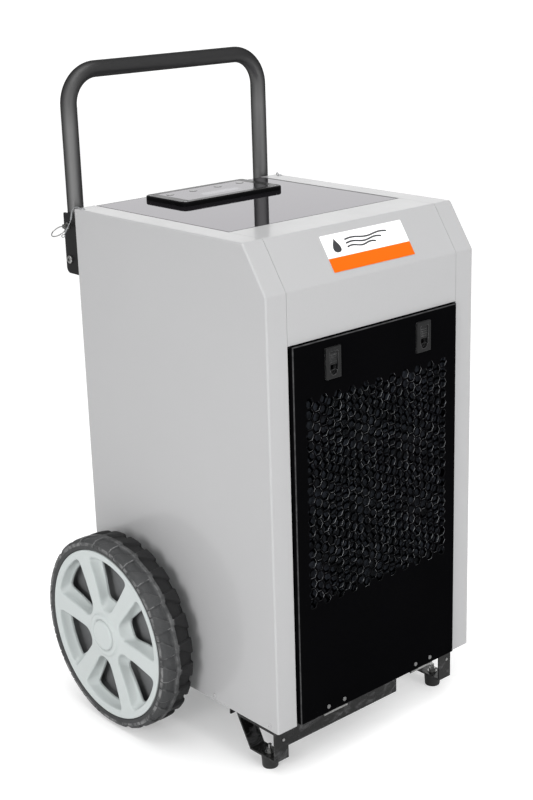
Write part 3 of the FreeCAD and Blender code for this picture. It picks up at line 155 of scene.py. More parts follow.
class Material(Nodes):
    """A material with one Principled shader, textured in object coordinates."""

    def __init__(self, name):
        self.data = bpy.data.materials.new(name)
        self.data.use_nodes = True
        super().__init__(self.data.node_tree)
        self.surface = self.node("ShaderNodeOutputMaterial").inputs["Surface"]
        self.shader = self.node("ShaderNodeBsdfPrincipled")
        self.feed(self.surface, self.shader.outputs["BSDF"])
        self.texture = self.node("ShaderNodeTexCoord")
        self.coords = self.texture.outputs["Object"]

    def set(self, name, value):
        """Feed an input of the shader."""
        self.feed(self.shader.inputs[name], value)

    def source(self, name):
        """The output already linked to an input of the shader."""
        return self.shader.inputs[name].links[0].from_socket

    def noise(self, scale, detail=3.0, roughness=0.5, distortion=0.0, coords=None):
        node = self.node("ShaderNodeTexNoise")
        self.feed(node.inputs["Vector"], coords or self.coords)
        node.inputs["Scale"].default_value = scale
        node.inputs["Detail"].default_value = detail
        node.inputs["Roughness"].default_value = roughness
        node.inputs["Distortion"].default_value = distortion
        return node.outputs["Fac"]

    def stretch(self, scale):
        node = self.node("ShaderNodeMapping")
        self.feed(node.inputs["Vector"], self.coords)
        node.inputs["Scale"].default_value = scale
        return node.outputs["Vector"]

    def mottle(self, wide, fine):
        """Six parts of a wide noise and four of a fine one."""
        return self.math("ADD", self.product(wide, 0.6), self.product(fine, 0.4))

    def within(self, value, low, high, soft):
        """1 between two limits, 0 outside them, with soft ends."""
        return self.product(self.remap(value, span=(low - soft, low + soft)),
                            self.remap(value, span=(high - soft, high + soft), to=(1.0, 0.0)))

    def mix(self, factor, first, second, mode="MIX"):
        node = self.node("ShaderNodeMix", data_type="RGBA", blend_type=mode)
        self.feed(node.inputs["Factor"], factor)
        for socket, colour in ((node.inputs[6], first), (node.inputs[7], second)):
            self.feed(socket, (*colour, 1.0) if isinstance(colour, tuple) else colour)
        return node.outputs[2]

    def bump(self, height, distance, normal=None):
        node = self.node("ShaderNodeBump")
        self.feed(node.inputs["Height"], height)
        node.inputs["Distance"].default_value = distance
        node.inputs["Strength"].default_value = 1.0
        if normal is not None:
            self.feed(node.inputs["Normal"], normal)
        return node.outputs["Normal"]


# ---------------------------------------------------------------------------
# General finish
# ---------------------------------------------------------------------------
def add_specks(mat, colour, base, amount):
    """Small paler grains of the base colour."""
    grains = mat.remap(mat.noise(scale=1400.0, detail=1.0), span=(0.66, 0.74), to=(0.0, amount))
    return mat.mix(grains, colour, tuple(min(1.0, c * 1.9 + 0.05) for c in base))


def add_dust(mat, colour, amount):
    """Cloudy dust on faces that look up."""
    normal = mat.node("ShaderNodeNewGeometry").outputs["Normal"]
    upward = mat.remap(mat.separate(normal)[2], span=(0.3, 1.0))
    cloud = mat.remap(mat.noise(scale=24.0, detail=5.0, roughness=0.65),
                      span=(0.42, 0.75), to=(0.2, 1.0))
    return mat.mix(mat.product(upward, cloud, amount), colour, (0.55, 0.53, 0.5))


def add_worn_and_highlit_edges(mat, colour, edge_colour, amount):
    """Patchy paler edges, partly wear and partly a painted edge highlight, found where a bevelled
    normal leaves the true one.
    """
    bevel = mat.node("ShaderNodeBevel", samples=4)
    bevel.inputs["Radius"].default_value = 0.0012
    normal = mat.node("ShaderNodeNewGeometry").outputs["Normal"]
    agreement = mat.vector_math("DOT_PRODUCT", bevel.outputs[0], normal)
    patches = mat.remap(mat.noise(scale=60.0, detail=4.0, roughness=0.7),
                        span=(0.4, 0.65), to=(0.25, 1.0))
    edges = mat.product(mat.remap(agreement, span=(0.97, 0.80)), patches, amount)
    return mat.mix(edges, colour, edge_colour)


def finish(name, colour, roughness, metallic=0.0, specular=0.5, ior=1.5,
           coat=0.0, coat_roughness=0.08, bumps=((500.0, 2e-5),),
           mottle=0.05, wide=7.0, fine=160.0, spread=0.06, sheen=0.0, brushed=None,
           speck=0.0, dust=0.0, edge=0.0, edge_colour=(0.8, 0.8, 0.8)):
    """A finish with mottled colour, uneven roughness and fine relief.

    bumps: (noise scale, height in metres) of each layer
    mottle: strength of the mottling; wide and fine: its two noise scales
    spread: how far roughness strays either way
    brushed: (axis of the strokes, swing of roughness)
    """
    mat = Material(name)
    clouds = mat.mottle(mat.noise(scale=wide, detail=4.0, roughness=0.6),
                        mat.noise(scale=fine, detail=2.0))
    shade = mat.remap(clouds, to=(1.0 - mottle, 1.0 + mottle))
    tint = mat.mix(1.0, colour, shade, mode="MULTIPLY")
    if speck:
        tint = add_specks(mat, tint, colour, speck)
    if dust:
        tint = add_dust(mat, tint, dust)
    # Paler edges: partly wear, partly a painted edge highlight
    if edge:
        tint = add_worn_and_highlit_edges(mat, tint, edge_colour, edge)
    mat.set("Base Color", tint)

    rough = mat.remap(mat.noise(scale=wide * 4.0, detail=5.0, roughness=0.62),
                      to=(max(0.02, roughness - spread), min(1.0, roughness + spread)))
    normal = None
    if brushed:
        axis, swing = brushed
        stroke_scale = [900.0, 900.0, 900.0]
        stroke_scale[axis] = 12.0
        strokes = mat.noise(scale=1.0, roughness=0.6, coords=mat.stretch(stroke_scale))
        rough = mat.math("ADD", rough, mat.remap(strokes, to=(-swing, swing)))
        normal = mat.bump(strokes, distance=6e-6)
    mat.set("Roughness", rough)
    for scale, distance in bumps:
        normal = mat.bump(mat.noise(scale=scale, detail=2.0), distance, normal)
    mat.set("Normal", normal)
    if coat:
        mat.set("Coat Normal", normal)
    mat.set("Metallic", metallic)
    mat.set("Specular IOR Level", specular)
    mat.set("IOR", ior)
    mat.set("Coat Weight", coat)
    mat.set("Coat Roughness", coat_roughness)
    if sheen:
        mat.set("Sheen Weight", sheen)
        mat.set("Sheen Roughness", 0.5)
    return mat


# ---------------------------------------------------------------------------
# Special materials
# ---------------------------------------------------------------------------
# Shared by the glass and the control overlay
DARK_MIRROR_IOR = 2.6
DARK_MIRROR_TINT = (0.955, 0.915, 1.0, 1.0)


def door_black():
    """Black, with painted glints on the side walls of the holes in one rectangle and a painted
    highlight on the folds outside it.
    """
    mat = finish("door_black", (0.0022, 0.0022, 0.0025), roughness=0.42, specular=0.0,
                 bumps=((600.0, 3e-5),), mottle=0.12, spread=0.07,
                 edge=0.03, edge_colour=(0.2, 0.2, 0.21))
    frontal = mat.math("ABSOLUTE", mat.separate(mat.texture.outputs["Normal"])[1])
    position = mat.separate(mat.coords)
    low, high = place(60, 0, 180), place(371, 0, 525)

    def between(value, start, end):
        return mat.product(mat.math("GREATER_THAN", value, start),
                           mat.math("LESS_THAN", value, end))
    field = mat.product(between(position[0], low.x, high.x), between(position[2], low.z, high.z))

    # Painted glints: paler patches of base colour on the side walls of the holes
    glint = mat.remap(mat.noise(scale=95.0, detail=2.0, roughness=0.6),
                      span=(0.47, 0.64), to=(0.04, 1.0))
    wall = mat.product(mat.remap(frontal, span=(0.7, 0.3)), field, glint)
    # Painted highlight: paler base colour along the folds outside the hole field
    fold = mat.product(mat.remap(frontal, span=(0.97, 0.88)),
                       mat.remap(frontal, span=(0.25, 0.5)), mat.math("SUBTRACT", 1.0, field))
    fold_highlight_patches = mat.remap(mat.noise(scale=70.0, detail=4.0, roughness=0.7),
                       span=(0.35, 0.65), to=(0.35, 0.8))
    colour = mat.mix(mat.product(fold, fold_highlight_patches), mat.source("Base Color"), (0.085, 0.085, 0.087))
    mat.set("Base Color", mat.mix(mat.product(wall, 0.5), colour, (0.34, 0.35, 0.36)))
    return mat


def powder_coat_handle():
    """A light band along the middle of the tube that fades to dark flanks and up the grip."""
    mat = finish("powder_coat_handle", (0.0115, 0.0115, 0.012), roughness=0.43, specular=1.0,
                 bumps=((1300.0, 6e-5), (500.0, 4e-5)), mottle=0.14, fine=800.0, spread=0.08,
                 speck=0.10)
    weight = mat.node("ShaderNodeLayerWeight")
    weight.inputs["Blend"].default_value = 0.5
    band = mat.remap(weight.outputs["Facing"], span=(0.03, 0.55), to=(3.3, 0.14))
    grip = mat.remap(mat.separate(mat.coords)[2],
                     span=(place(0, 0, 870).z, place(0, 0, 955).z), to=(1.0, 0.27))
    mat.set("Specular IOR Level", mat.product(band, grip))
    return mat


def smoked_glass():
    """Nearly black body with a cool mirror that stops short of the pane edges."""
    mat = finish("smoked_glass", (0.012, 0.011, 0.013), roughness=0.045, ior=DARK_MIRROR_IOR,
                 bumps=((60.0, 6e-6),), mottle=0.1, spread=0.02)
    mat.set("Specular Tint", DARK_MIRROR_TINT)
    low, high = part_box("top_glass")
    position = mat.separate(mat.coords)

    def edge_distance(value, start, end):
        return mat.math("MINIMUM", mat.math("SUBTRACT", value, start),
                        mat.math("SUBTRACT", end, value))
    distance = mat.math("MINIMUM", edge_distance(position[0], low.x, high.x),
                        edge_distance(position[1], low.y, high.y))
    mat.set("Specular IOR Level", mat.product(mat.remap(distance, span=(0.0022, 0.0027)), 0.5))
    return mat


def hex_net(mat, pitch, line, turn):
    """1 on the threads of a hexagonal net in the XZ plane, 0 in its meshes."""
    position = mat.separate(mat.coords)
    c, s = math.cos(turn), math.sin(turn)
    across = mat.math("SUBTRACT", mat.product(position[0], c), mat.product(position[2], s))
    along = mat.math("ADD", mat.product(position[0], s), mat.product(position[2], c))

    def offset(value, step, shift):
        """Distance from the middle of the cell; the 100 keeps the fraction positive."""
        cells = mat.math("ADD", mat.math("DIVIDE", value, step), shift + 100.0)
        centred = mat.math("SUBTRACT", mat.math("FRACT", cells), 0.5)
        return mat.math("ABSOLUTE", mat.product(centred, step))

    def lattice(shift):
        u = offset(across, pitch, shift)
        v = offset(along, pitch * math.sqrt(3.0), shift)
        squared = mat.math("ADD", mat.product(u, u), mat.product(v, v))
        slanted = mat.math("ADD", mat.product(u, 0.5), mat.product(v, math.sqrt(3.0) / 2.0))
        return squared, mat.math("MAXIMUM", u, slanted)

    # Two interleaved rectangular lattices; the nearer centre wins
    squared_a, hex_a = lattice(0.0)
    squared_b, hex_b = lattice(0.5)
    first = mat.math("LESS_THAN", squared_a, squared_b)
    distance = mat.math("ADD", mat.product(first, hex_a),
                        mat.product(mat.math("SUBTRACT", 1.0, first), hex_b))
    return mat.remap(distance, span=(pitch / 2.0 - line, pitch / 2.0 - line * 0.5), smooth=True)


def filter_net():
    """Black threads over cloudy gauze."""
    mat = Material("filter_net")
    threads = hex_net(mat, pitch=0.0156, line=0.0026, turn=0.40)
    cloud = mat.noise(scale=42.0, detail=4.0, roughness=0.7)
    gauze = mat.mix(mat.remap(cloud, span=(0.38, 0.66)),
                    (0.0065, 0.0068, 0.0072), (0.019, 0.0215, 0.0265))
    mat.set("Base Color", mat.mix(threads, gauze, (0.0006, 0.0006, 0.0008)))
    mat.set("Roughness", mat.remap(cloud, to=(0.45, 0.65)))
    mat.set("Normal", mat.bump(threads, distance=3e-4))
    mat.set("Specular IOR Level", 0.0)
    return mat


def tyre_rubber():
    """Matt rubber, grey on the outer half and painted dark as shade on the inward half, with paler
    edges, partly wear and partly painted glints, where the mesh attributes say so.
    """
    mat = Material("tyre_rubber")

    def attribute(name):
        return mat.node("ShaderNodeAttribute", attribute_name=name).outputs["Fac"]
    patches = mat.remap(mat.noise(scale=55.0, detail=4.0, roughness=0.7), span=(0.40, 0.60))
    # Paler lug edges: partly wear, partly painted glints
    wear_and_glint = mat.product(attribute("edge_wear_and_glint"), patches)
    clouds = mat.mottle(mat.noise(scale=14.0, detail=5.0, roughness=0.65),
                        mat.noise(scale=420.0, detail=2.0))
    grey = mat.mix(mat.remap(clouds, span=(0.32, 0.68)),
                   (0.030, 0.031, 0.032), (0.055, 0.056, 0.057))
    # Painted shade: the inward half of the tread is near black, the outer half grey
    base = mat.mix(mat.product(attribute("lit_half"), 1.0), (0.012, 0.012, 0.0125), grey)
    mat.set("Base Color", mat.mix(mat.product(wear_and_glint, 0.75), base, (0.40, 0.40, 0.40)))
    mat.set("Roughness", mat.remap(clouds, to=(0.52, 0.72)))
    grain = mat.bump(mat.noise(scale=900.0, detail=2.0), distance=8e-5)
    lumps = mat.noise(scale=120.0, detail=4.0, roughness=0.6)
    mat.set("Normal", mat.bump(lumps, distance=1.2e-4, normal=grain))
    mat.set("Specular IOR Level", 0.32)
    return mat


def label_film():
    """Name plate: white field above, orange field below."""
    mat = Material("label_film")
    low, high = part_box("front_label")
    split = low.z + (high.z - low.z) * ORANGE_HEIGHT / PLATE_HEIGHT
    # The dividing line can waver; at 0.0 it is straight
    waver = mat.product(mat.math("SUBTRACT", mat.noise(scale=300.0), 0.5), 0.0)
    above = mat.remap(mat.math("ADD", mat.separate(mat.coords)[2], waver),
                      span=(split - 0.00012, split + 0.00012))
    grain = mat.noise(scale=700.0, detail=2.0)
    white = mat.mix(grain, (0.90, 0.90, 0.90), (0.96, 0.96, 0.955))
    orange = mat.mix(grain, (0.68, 0.112, 0.002), (0.73, 0.128, 0.003))
    mat.set("Base Color", mat.mix(above, orange, white))
    mat.set("Roughness", mat.remap(mat.noise(scale=60.0), to=(0.30, 0.42)))
    mat.set("Normal", mat.bump(mat.noise(scale=260.0), distance=1.5e-5))
    mat.set("Specular IOR Level", 0.12)
    return mat


def overlay_film():
    """Control overlay: dark field, paler display strip with cells, four key rings."""
    mat = Material("overlay_film")
    position = mat.separate(mat.coords)

    def rectangle(low, high, soft):
        return mat.product(mat.within(position[0], low.x, high.x, soft),
                           mat.within(position[1], low.y, high.y, soft))
    strip = rectangle(place(188, 353.5, 0), place(264, 371.0, 0), soft=0.0003)
    field = rectangle(place(140.5, 338.0, 0), place(312.5, 418.0, 0), soft=0.0002)
    colour = mat.mix(field, (0.03, 0.03, 0.032), (0.010, 0.010, 0.011))
    haze = mat.remap(mat.noise(scale=50.0), to=(0.8, 1.0))
    colour = mat.mix(mat.product(strip, haze), colour, (0.20, 0.205, 0.215))

    stripes = mat.node("ShaderNodeTexWave", wave_type="BANDS", bands_direction="X")
    mat.feed(stripes.inputs["Vector"], mat.coords)
    stripes.inputs["Scale"].default_value = 22.0
    stripes.inputs["Detail"].default_value = 0.0
    cells = mat.remap(stripes.outputs["Fac"], span=(0.90, 0.97), to=(0.0, 0.5))
    colour = mat.mix(mat.product(strip, cells), colour, (0.035, 0.037, 0.04))

    key_y = 400.5
    for key_x in (152.5, 200.0, 252.0, 300.0):
        centre = place(key_x, key_y, 0)
        dx = mat.math("SUBTRACT", position[0], centre.x)
        dy = mat.math("SUBTRACT", position[1], centre.y)
        distance = mat.math("SQRT", mat.math("ADD", mat.product(dx, dx), mat.product(dy, dy)))
        ring = mat.within(distance, low=0.0080, high=0.0087, soft=0.0001)
        colour = mat.mix(mat.product(ring, 0.5), colour, (0.10, 0.10, 0.105))
    mat.set("Base Color", colour)
    mat.set("Roughness", mat.remap(mat.noise(scale=80.0, detail=4.0), to=(0.09, 0.13)))
    mat.set("Normal", mat.bump(mat.noise(scale=500.0), distance=5e-6))
    mat.set("IOR", DARK_MIRROR_IOR)
    mat.set("Specular Tint", DARK_MIRROR_TINT)
    return mat


def steel_with_painted_reflections():
    """The black paint of the steel parts, with paler patches that are painted reflections."""
    mat = finish("painted_steel_reflection_patches", (0.004, 0.004, 0.004), roughness=0.22, specular=0.32,
                 bumps=((420.0, 5e-5),), mottle=0.15, spread=0.1,
                 dust=0.03, edge=0.2, edge_colour=(0.16, 0.16, 0.16))
    # Painted reflection: paler smears mixed into the base colour
    patches = mat.noise(scale=1.0, detail=5.0, roughness=0.66, distortion=1.2,
                        coords=mat.stretch((26.0, 26.0, 60.0)))
    mat.set("Base Color", mat.mix(mat.remap(patches, span=(0.50, 0.72)),
                                  mat.source("Base Color"), (0.075, 0.075, 0.077)))
    return mat


# Material of each slot; colours are linear RGB
MATERIALS = {
    "light_grey_panel": finish(
        "panel_light_grey", (0.395, 0.395, 0.40), roughness=0.34, specular=0.42,
        coat=0.45, coat_roughness=0.10, bumps=((430.0, 5e-5), (95.0, 6e-5)),
        mottle=0.022, wide=3.0, fine=520.0, spread=0.05),
    "gloss_black_door": door_black(),
    "black_powder_coat": finish(
        "powder_coat_black", (0.0045, 0.0045, 0.005), roughness=0.34, specular=0.20,
        bumps=((1100.0, 5e-5), (420.0, 4e-5)), mottle=0.12, fine=700.0, spread=0.08,
        edge=0.15, edge_colour=(0.12, 0.12, 0.125)),
    "handle_powder_coat": powder_coat_handle(),
    "black_painted_steel": finish(
        "painted_steel_black", (0.004, 0.004, 0.004), roughness=0.20, specular=0.30,
        bumps=((420.0, 5e-5),), mottle=0.15, spread=0.08,
        dust=0.03, edge=0.2, edge_colour=(0.16, 0.16, 0.16)),
    "black_plastic": finish(
        "moulded_plastic_black", (0.002, 0.002, 0.0022), roughness=0.24, specular=0.10,
        bumps=((900.0, 3e-5),), mottle=0.12, spread=0.08,
        edge=0.15, edge_colour=(0.10, 0.10, 0.105)),
    "button_plastic": finish(
        "key_plastic", (0.030, 0.031, 0.033), roughness=0.16, ior=2.4,
        bumps=((500.0, 6e-6),), mottle=0.06, spread=0.03),
    "circuit_board": finish(
        "board_mask_green", (0.018, 0.11, 0.045), roughness=0.35,
        bumps=((700.0, 4e-5),), mottle=0.15, fine=900.0, speck=0.5),
    "box_plastic": finish(
        "box_plastic_grey", (0.40, 0.40, 0.39), roughness=0.5, bumps=((900.0, 3e-5),)),
    # The strong paler edges here are mostly a painted highlight on the lit edge of the latch
    "latch_plastic": finish(
        "latch_plastic_dark", (0.0085, 0.0087, 0.009), roughness=0.30, specular=0.20,
        bumps=((1000.0, 4e-5),), mottle=0.12, spread=0.09,
        edge=0.6, edge_colour=(0.30, 0.30, 0.305)),
    "rim_plastic": finish(
        "rim_silver_plastic", (0.465, 0.50, 0.495), roughness=0.36,
        coat=0.5, coat_roughness=0.16, bumps=((700.0, 2.5e-5), (120.0, 4e-5)),
        mottle=0.02, fine=1500.0, spread=0.05, speck=0.04),
    # Painted shade: the hollow inside the rim and the back of its face take this dark grey in
    # place of the silver
    "rim_inner": finish(
        "rim_inner_painted_shade", (0.15, 0.154, 0.157), roughness=0.5,
        bumps=((500.0, 5e-5),), mottle=0.12, spread=0.08),
    "black_rubber": finish(
        "foot_rubber", (0.016, 0.016, 0.016), roughness=0.62, specular=0.35,
        bumps=((700.0, 8e-5),), mottle=0.2, dust=0.12, sheen=0.1),
    "hose_rubber": finish(
        "hose_vinyl", (0.18, 0.18, 0.17), roughness=0.4, bumps=((300.0, 6e-5),), mottle=0.1),
    "cord_rubber": finish(
        "cord_rubber", (0.012, 0.012, 0.012), roughness=0.55, specular=0.4,
        bumps=((900.0, 6e-5),), mottle=0.2),
    "bush_nylon": finish(
        "bush_nylon", (0.62, 0.62, 0.58), roughness=0.45, bumps=((600.0, 3e-5),)),
    "fan_plastic": finish(
        "fan_plastic", (0.028, 0.029, 0.031), roughness=0.45,
        bumps=((800.0, 4e-5),), mottle=0.15),
    "zinc_steel": finish(
        "zinc_plated_steel", (0.36, 0.36, 0.355), roughness=0.28, metallic=1.0,
        bumps=((900.0, 2e-5),), mottle=0.14, wide=60.0, fine=900.0, spread=0.1),
    "galvanised_steel": finish(
        "galvanised_sheet", (0.52, 0.53, 0.54), roughness=0.42, metallic=0.9,
        bumps=((160.0, 3e-5),), mottle=0.16, wide=45.0, fine=300.0, spread=0.12),
    "rivet_aluminium": finish(
        "rivet_aluminium", (0.24, 0.24, 0.24), roughness=0.36, metallic=1.0,
        bumps=((1200.0, 3e-5),), mottle=0.1, fine=1500.0, spread=0.1),
    "coil_aluminium": finish(
        "fin_aluminium", (0.60, 0.61, 0.63), roughness=0.38, metallic=1.0,
        bumps=((500.0, 4e-5),), mottle=0.12, brushed=(0, 0.05)),
    "copper_pipe": finish(
        "drawn_copper", (0.62, 0.30, 0.18), roughness=0.28, metallic=1.0,
        bumps=((500.0, 3e-5),), mottle=0.2, wide=40.0, spread=0.12),
    "brass_fitting": finish(
        "turned_brass", (0.66, 0.50, 0.22), roughness=0.27, metallic=1.0,
        bumps=((900.0, 2e-5),), mottle=0.1, brushed=(1, 0.06)),
    "smoked_glass": smoked_glass(),
    "filter_net": filter_net(),
    "tyre_rubber": tyre_rubber(),
    "label_film": label_film(),
    "overlay_film": overlay_film(),
}

# Pieces that differ from the material of their slot
steel = steel_with_painted_reflections()
SPECIAL = {
    "front_cross_member": steel,
    "foot_brackets": steel,
    "panel_screws": finish(
        "screw_head_painted", (0.40, 0.40, 0.405), roughness=0.34,
        bumps=((1500.0, 2e-5),), mottle=0.15, fine=1200.0, spread=0.1),
}

for node_name, piece in NODES.items():
    slot_name = SLOTS[node_name]
    piece.data.materials.clear()
    piece.data.materials.append(SPECIAL.get(node_name, MATERIALS[slot_name]).data)


# ---------------------------------------------------------------------------
# Mesh helpers
# ---------------------------------------------------------------------------
def add_object(name, data):
    obj = bpy.data.objects.new(name, data)
    scene.collection.objects.link(obj)
    return obj


def add_piece(name, mesh, materials, body=None, replaced=None):
    """Put a finished mesh in the scene with its materials, hang it on its body if one is given and
    hide the CAD part it replaces.
    """
    for material in materials:
        mesh.materials.append(material.data)
    obj = add_object(name, mesh)
    if body:
        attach(obj, body)
    if replaced:
        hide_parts(replaced)
    return obj


def smooth_mesh(name, bm, sharp):
    """A smooth-shaded mesh from a bmesh, with edges above the sharp angle kept crisp."""
    bmesh.ops.remove_doubles(bm, verts=bm.verts, dist=2e-6)
    bmesh.ops.recalc_face_normals(bm, faces=bm.faces)
    for face in bm.faces:
        face.smooth = True
    mesh = bpy.data.meshes.new(name)
    bm.to_mesh(mesh)
    bm.free()
    mesh.set_sharp_from_angle(angle=math.radians(sharp))
    return mesh


def grid_faces(bm, rows, closed_rows=False, material=0):
    """Quads between neighbouring closed rows of vertices; shared corners are dropped."""
    count = len(rows)
    for i in range(count if closed_rows else count - 1):
        a, b = rows[i], rows[(i + 1) % count]
        for j in range(len(a)):
            k = (j + 1) % len(a)
            corners = list(dict.fromkeys((a[j], a[k], b[k], b[j])))
            if len(corners) > 2:
                # Merged vertices can ask for the same face twice
                try:
                    bm.faces.new(corners).material_index = material
                except ValueError:
                    pass


# ---------------------------------------------------------------------------
# Rims: six sectors, each with a window in a dished pocket; side is -1 left, 1 right
# ---------------------------------------------------------------------------
SECTORS = 6
SECTOR_ANGLE = 360.0 / SECTORS
HALF_SECTOR = SECTOR_ANGLE / 2
FIRST_SECTOR = 22.0         # degrees from the front, upwards
ARC_STEPS, SIDE_STEPS = 40, 34
HUB_RADIUS, LIP_RADIUS = 41.0, 135.5
RAY_START = 85.0            # radius of the point in each window that the rays leave from
POCKET_DEPTH = 17.0
SHOULDER = 3.2              # width of the rounding round the pocket
FACE_THICKNESS = 5.0

# Outward offset of the rim face against radius
FACE_RADII = (38.0, 44.0, 60.0, 90.0, 118.0, 128.0, 136.0)
FACE_OFFSETS = (29.2, 28.9, 27.9, 27.5, 28.0, 28.5, 28.9)


def wheel_coords(side, degrees, radius, offset):
    """x, y, z for an angle (from the front upwards), a radius and an outward offset."""
    turn = np.radians(degrees)
    return (side * (WHEEL_X + offset / 1000.0), WHEEL_Y - radius / 1000.0 * np.cos(turn),
            WHEEL_Z + radius / 1000.0 * np.sin(turn))


def face_offset(radius):
    return float(np.interp(radius, FACE_RADII, FACE_OFFSETS))


# Lathe profiles as (radius, outward offset)
RIM_LIP = (
    (LIP_RADIUS, face_offset(LIP_RADIUS)), (136.6, 29.05), (137.6, 29.35), (139.0, 29.7),
    (140.6, 29.8), (141.7, 29.5), (142.3, 28.8), (142.4, 27.8))
RIM_BARREL = ((142.4, 27.8), (142.4, 10.0), (142.4, -10.0), (142.4, -25.8))
# Inward edge, rear disc, axle bore and hub ring
RIM_BACK = (
    (142.4, -25.8), (141.9, -26.6), (140.8, -27.0), (138.4, -27.0), (137.5, -26.4),
    (137.2, -25.0), (137.0, -13.0), (136.2, -12.2), (120.0, -12.0), (80.0, -11.4),
    (40.0, -12.0), (35.5, -13.0), (34.6, -16.0), (34.0, -22.8), (32.8, -24.0), (12.4, -24.0),
    (11.25, -23.0), (11.25, 13.2), (12.0, 14.2), (25.6, 14.2), (25.6, 31.0), (26.6, 31.3),
    (27.4, 32.4), (28.4, 32.9), (31.0, 33.0), (33.2, 32.9), (34.6, 32.3), (35.4, 31.2),
    (36.4, 30.2), (38.4, 29.5), (HUB_RADIUS, face_offset(HUB_RADIUS)))
# Hollow between the spoked face and the rear disc
RIM_HOLLOW = (
    (LIP_RADIUS, face_offset(LIP_RADIUS) - FACE_THICKNESS), (135.9, 19.0), (136.0, -6.0),
    (135.0, -7.6), (120.0, -8.0), (80.0, -7.4), (42.0, -8.0), (38.6, -7.0), (37.6, -3.0),
    (37.4, 14.0), (38.6, 19.6), (HUB_RADIUS, face_offset(HUB_RADIUS) - FACE_THICKNESS))
HUB_CAP = (
    (0.02, 35.0), (4.0, 35.0), (10.0, 34.9), (16.0, 34.6), (19.0, 34.7), (21.4, 34.6),
    (22.8, 34.3), (23.9, 33.6), (24.6, 32.6), (25.2, 31.3), (25.45, 30.8), (25.4, 16.2),
    (23.8, 16.2), (23.6, 25.0), (22.0, 28.6), (0.02, 30.0))


def rounded_wedge(inner, inner_half_width, outer, outer_half_angle, outer_round, inner_round):
    """Signed distance to a wedge with rounded corners, symmetric about the x axis."""
    angle = math.radians(outer_half_angle)
    start = np.array([inner, inner_half_width])
    end = np.array([outer * math.cos(angle), outer * math.sin(angle)])
    along = (end - start) / np.linalg.norm(end - start)
    normal = np.array([-along[1], along[0]])

    def intersect(first, second, rounding):
        u, v = max(rounding + first, 0.0), max(rounding + second, 0.0)
        return min(-rounding, max(first, second)) + math.hypot(u, v)

    def distance(x, y):
        y = abs(y)
        flank = (x - start[0]) * normal[0] + (y - start[1]) * normal[1]
        return max(intersect(flank, math.hypot(x, y) - outer, outer_round),
                   intersect(flank, inner - x, inner_round))
    return distance


POCKET = rounded_wedge(inner=44.0, inner_half_width=11.5, outer=130.5, outer_half_angle=23.0,
                       outer_round=9.0, inner_round=9.0)
WINDOW = rounded_wedge(inner=57.0, inner_half_width=15.5, outer=124.5, outer_half_angle=17.4,
                       outer_round=6.0, inner_round=6.0)


def ray_hit(distance, dx, dy, far):
    """How far a ray runs before it leaves a shape, found by halving."""
    low, high = 0.0, far
    for _ in range(44):
        middle = (low + high) / 2
        if distance(RAY_START + dx * middle, dy * middle) < 0:
            low = middle
        else:
            high = middle
    return (low + high) / 2


def bezier(a, b, c, steps):
    return [tuple((1 - t) ** 2 * a[i] + 2 * t * (1 - t) * b[i] + t * t * c[i] for i in range(2))
            for t in [k / steps for k in range(steps + 1)]]


def sector_outline():
    """(radius, angle) round one sector, angles from its centre line."""
    height = LIP_RADIUS - HUB_RADIUS
    sides, arcs = range(SIDE_STEPS), range(ARC_STEPS)
    return ([(HUB_RADIUS + height * i / SIDE_STEPS, -HALF_SECTOR) for i in sides]
            + [(LIP_RADIUS, -HALF_SECTOR + SECTOR_ANGLE * i / ARC_STEPS) for i in arcs]
            + [(LIP_RADIUS - height * i / SIDE_STEPS, HALF_SECTOR) for i in sides]
            + [(HUB_RADIUS, HALF_SECTOR - SECTOR_ANGLE * i / ARC_STEPS) for i in arcs])


def sector_column(radius, angle):
    """(radius, angle, offset) from an outline point in to the window and back behind the face."""
    x = radius * math.cos(math.radians(angle))
    y = radius * math.sin(math.radians(angle))
    dx, dy = x - RAY_START, y
    reach = math.hypot(dx, dy)
    dx, dy = dx / reach, dy / reach
    pocket = ray_hit(POCKET, dx, dy, reach)
    window = ray_hit(WINDOW, dx, dy, pocket)

    def polar(t):
        x, y = RAY_START + dx * t, dy * t
        return math.hypot(x, y), math.degrees(math.atan2(y, x))

    def on_face(t):
        return t, face_offset(polar(t)[0])
    shoulder = pocket + SHOULDER
    top = on_face(pocket)[1]
    floor = top - POCKET_DEPTH

    def dish(v):
        """A point of the pocket wall, which flattens towards the window."""
        turn = v * math.pi / 2
        return (pocket + (window - pocket) * (0.35 * v + 0.65 * (1 - math.cos(turn))),
                top - POCKET_DEPTH * (0.45 * v + 0.55 * math.sin(turn)))

    profile = [on_face(reach + (shoulder - reach) * s) for s in (0.0, 0.35, 0.7, 0.92)]
    profile += bezier(on_face(shoulder), (pocket, top), dish(0.16), 6)
    profile += [dish(v) for v in (0.28, 0.4, 0.52, 0.64, 0.76, 0.87)]
    profile += bezier(dish(0.955), (window, floor), (window, floor - 1.0), 3)
    # The last four points are the back of the face
    profile += [(window, floor - 3.4), (window + 0.6, floor - 4.0),
                (pocket + 1.0, top - FACE_THICKNESS), (reach, on_face(reach)[1] - FACE_THICKNESS)]
    column = [(*polar(t), offset) for t, offset in profile]
    # Both ends lie exactly on the outline, where they meet the neighbours
    for end in (0, -1):
        column[end] = (radius, angle, profile[end][1])
    return column


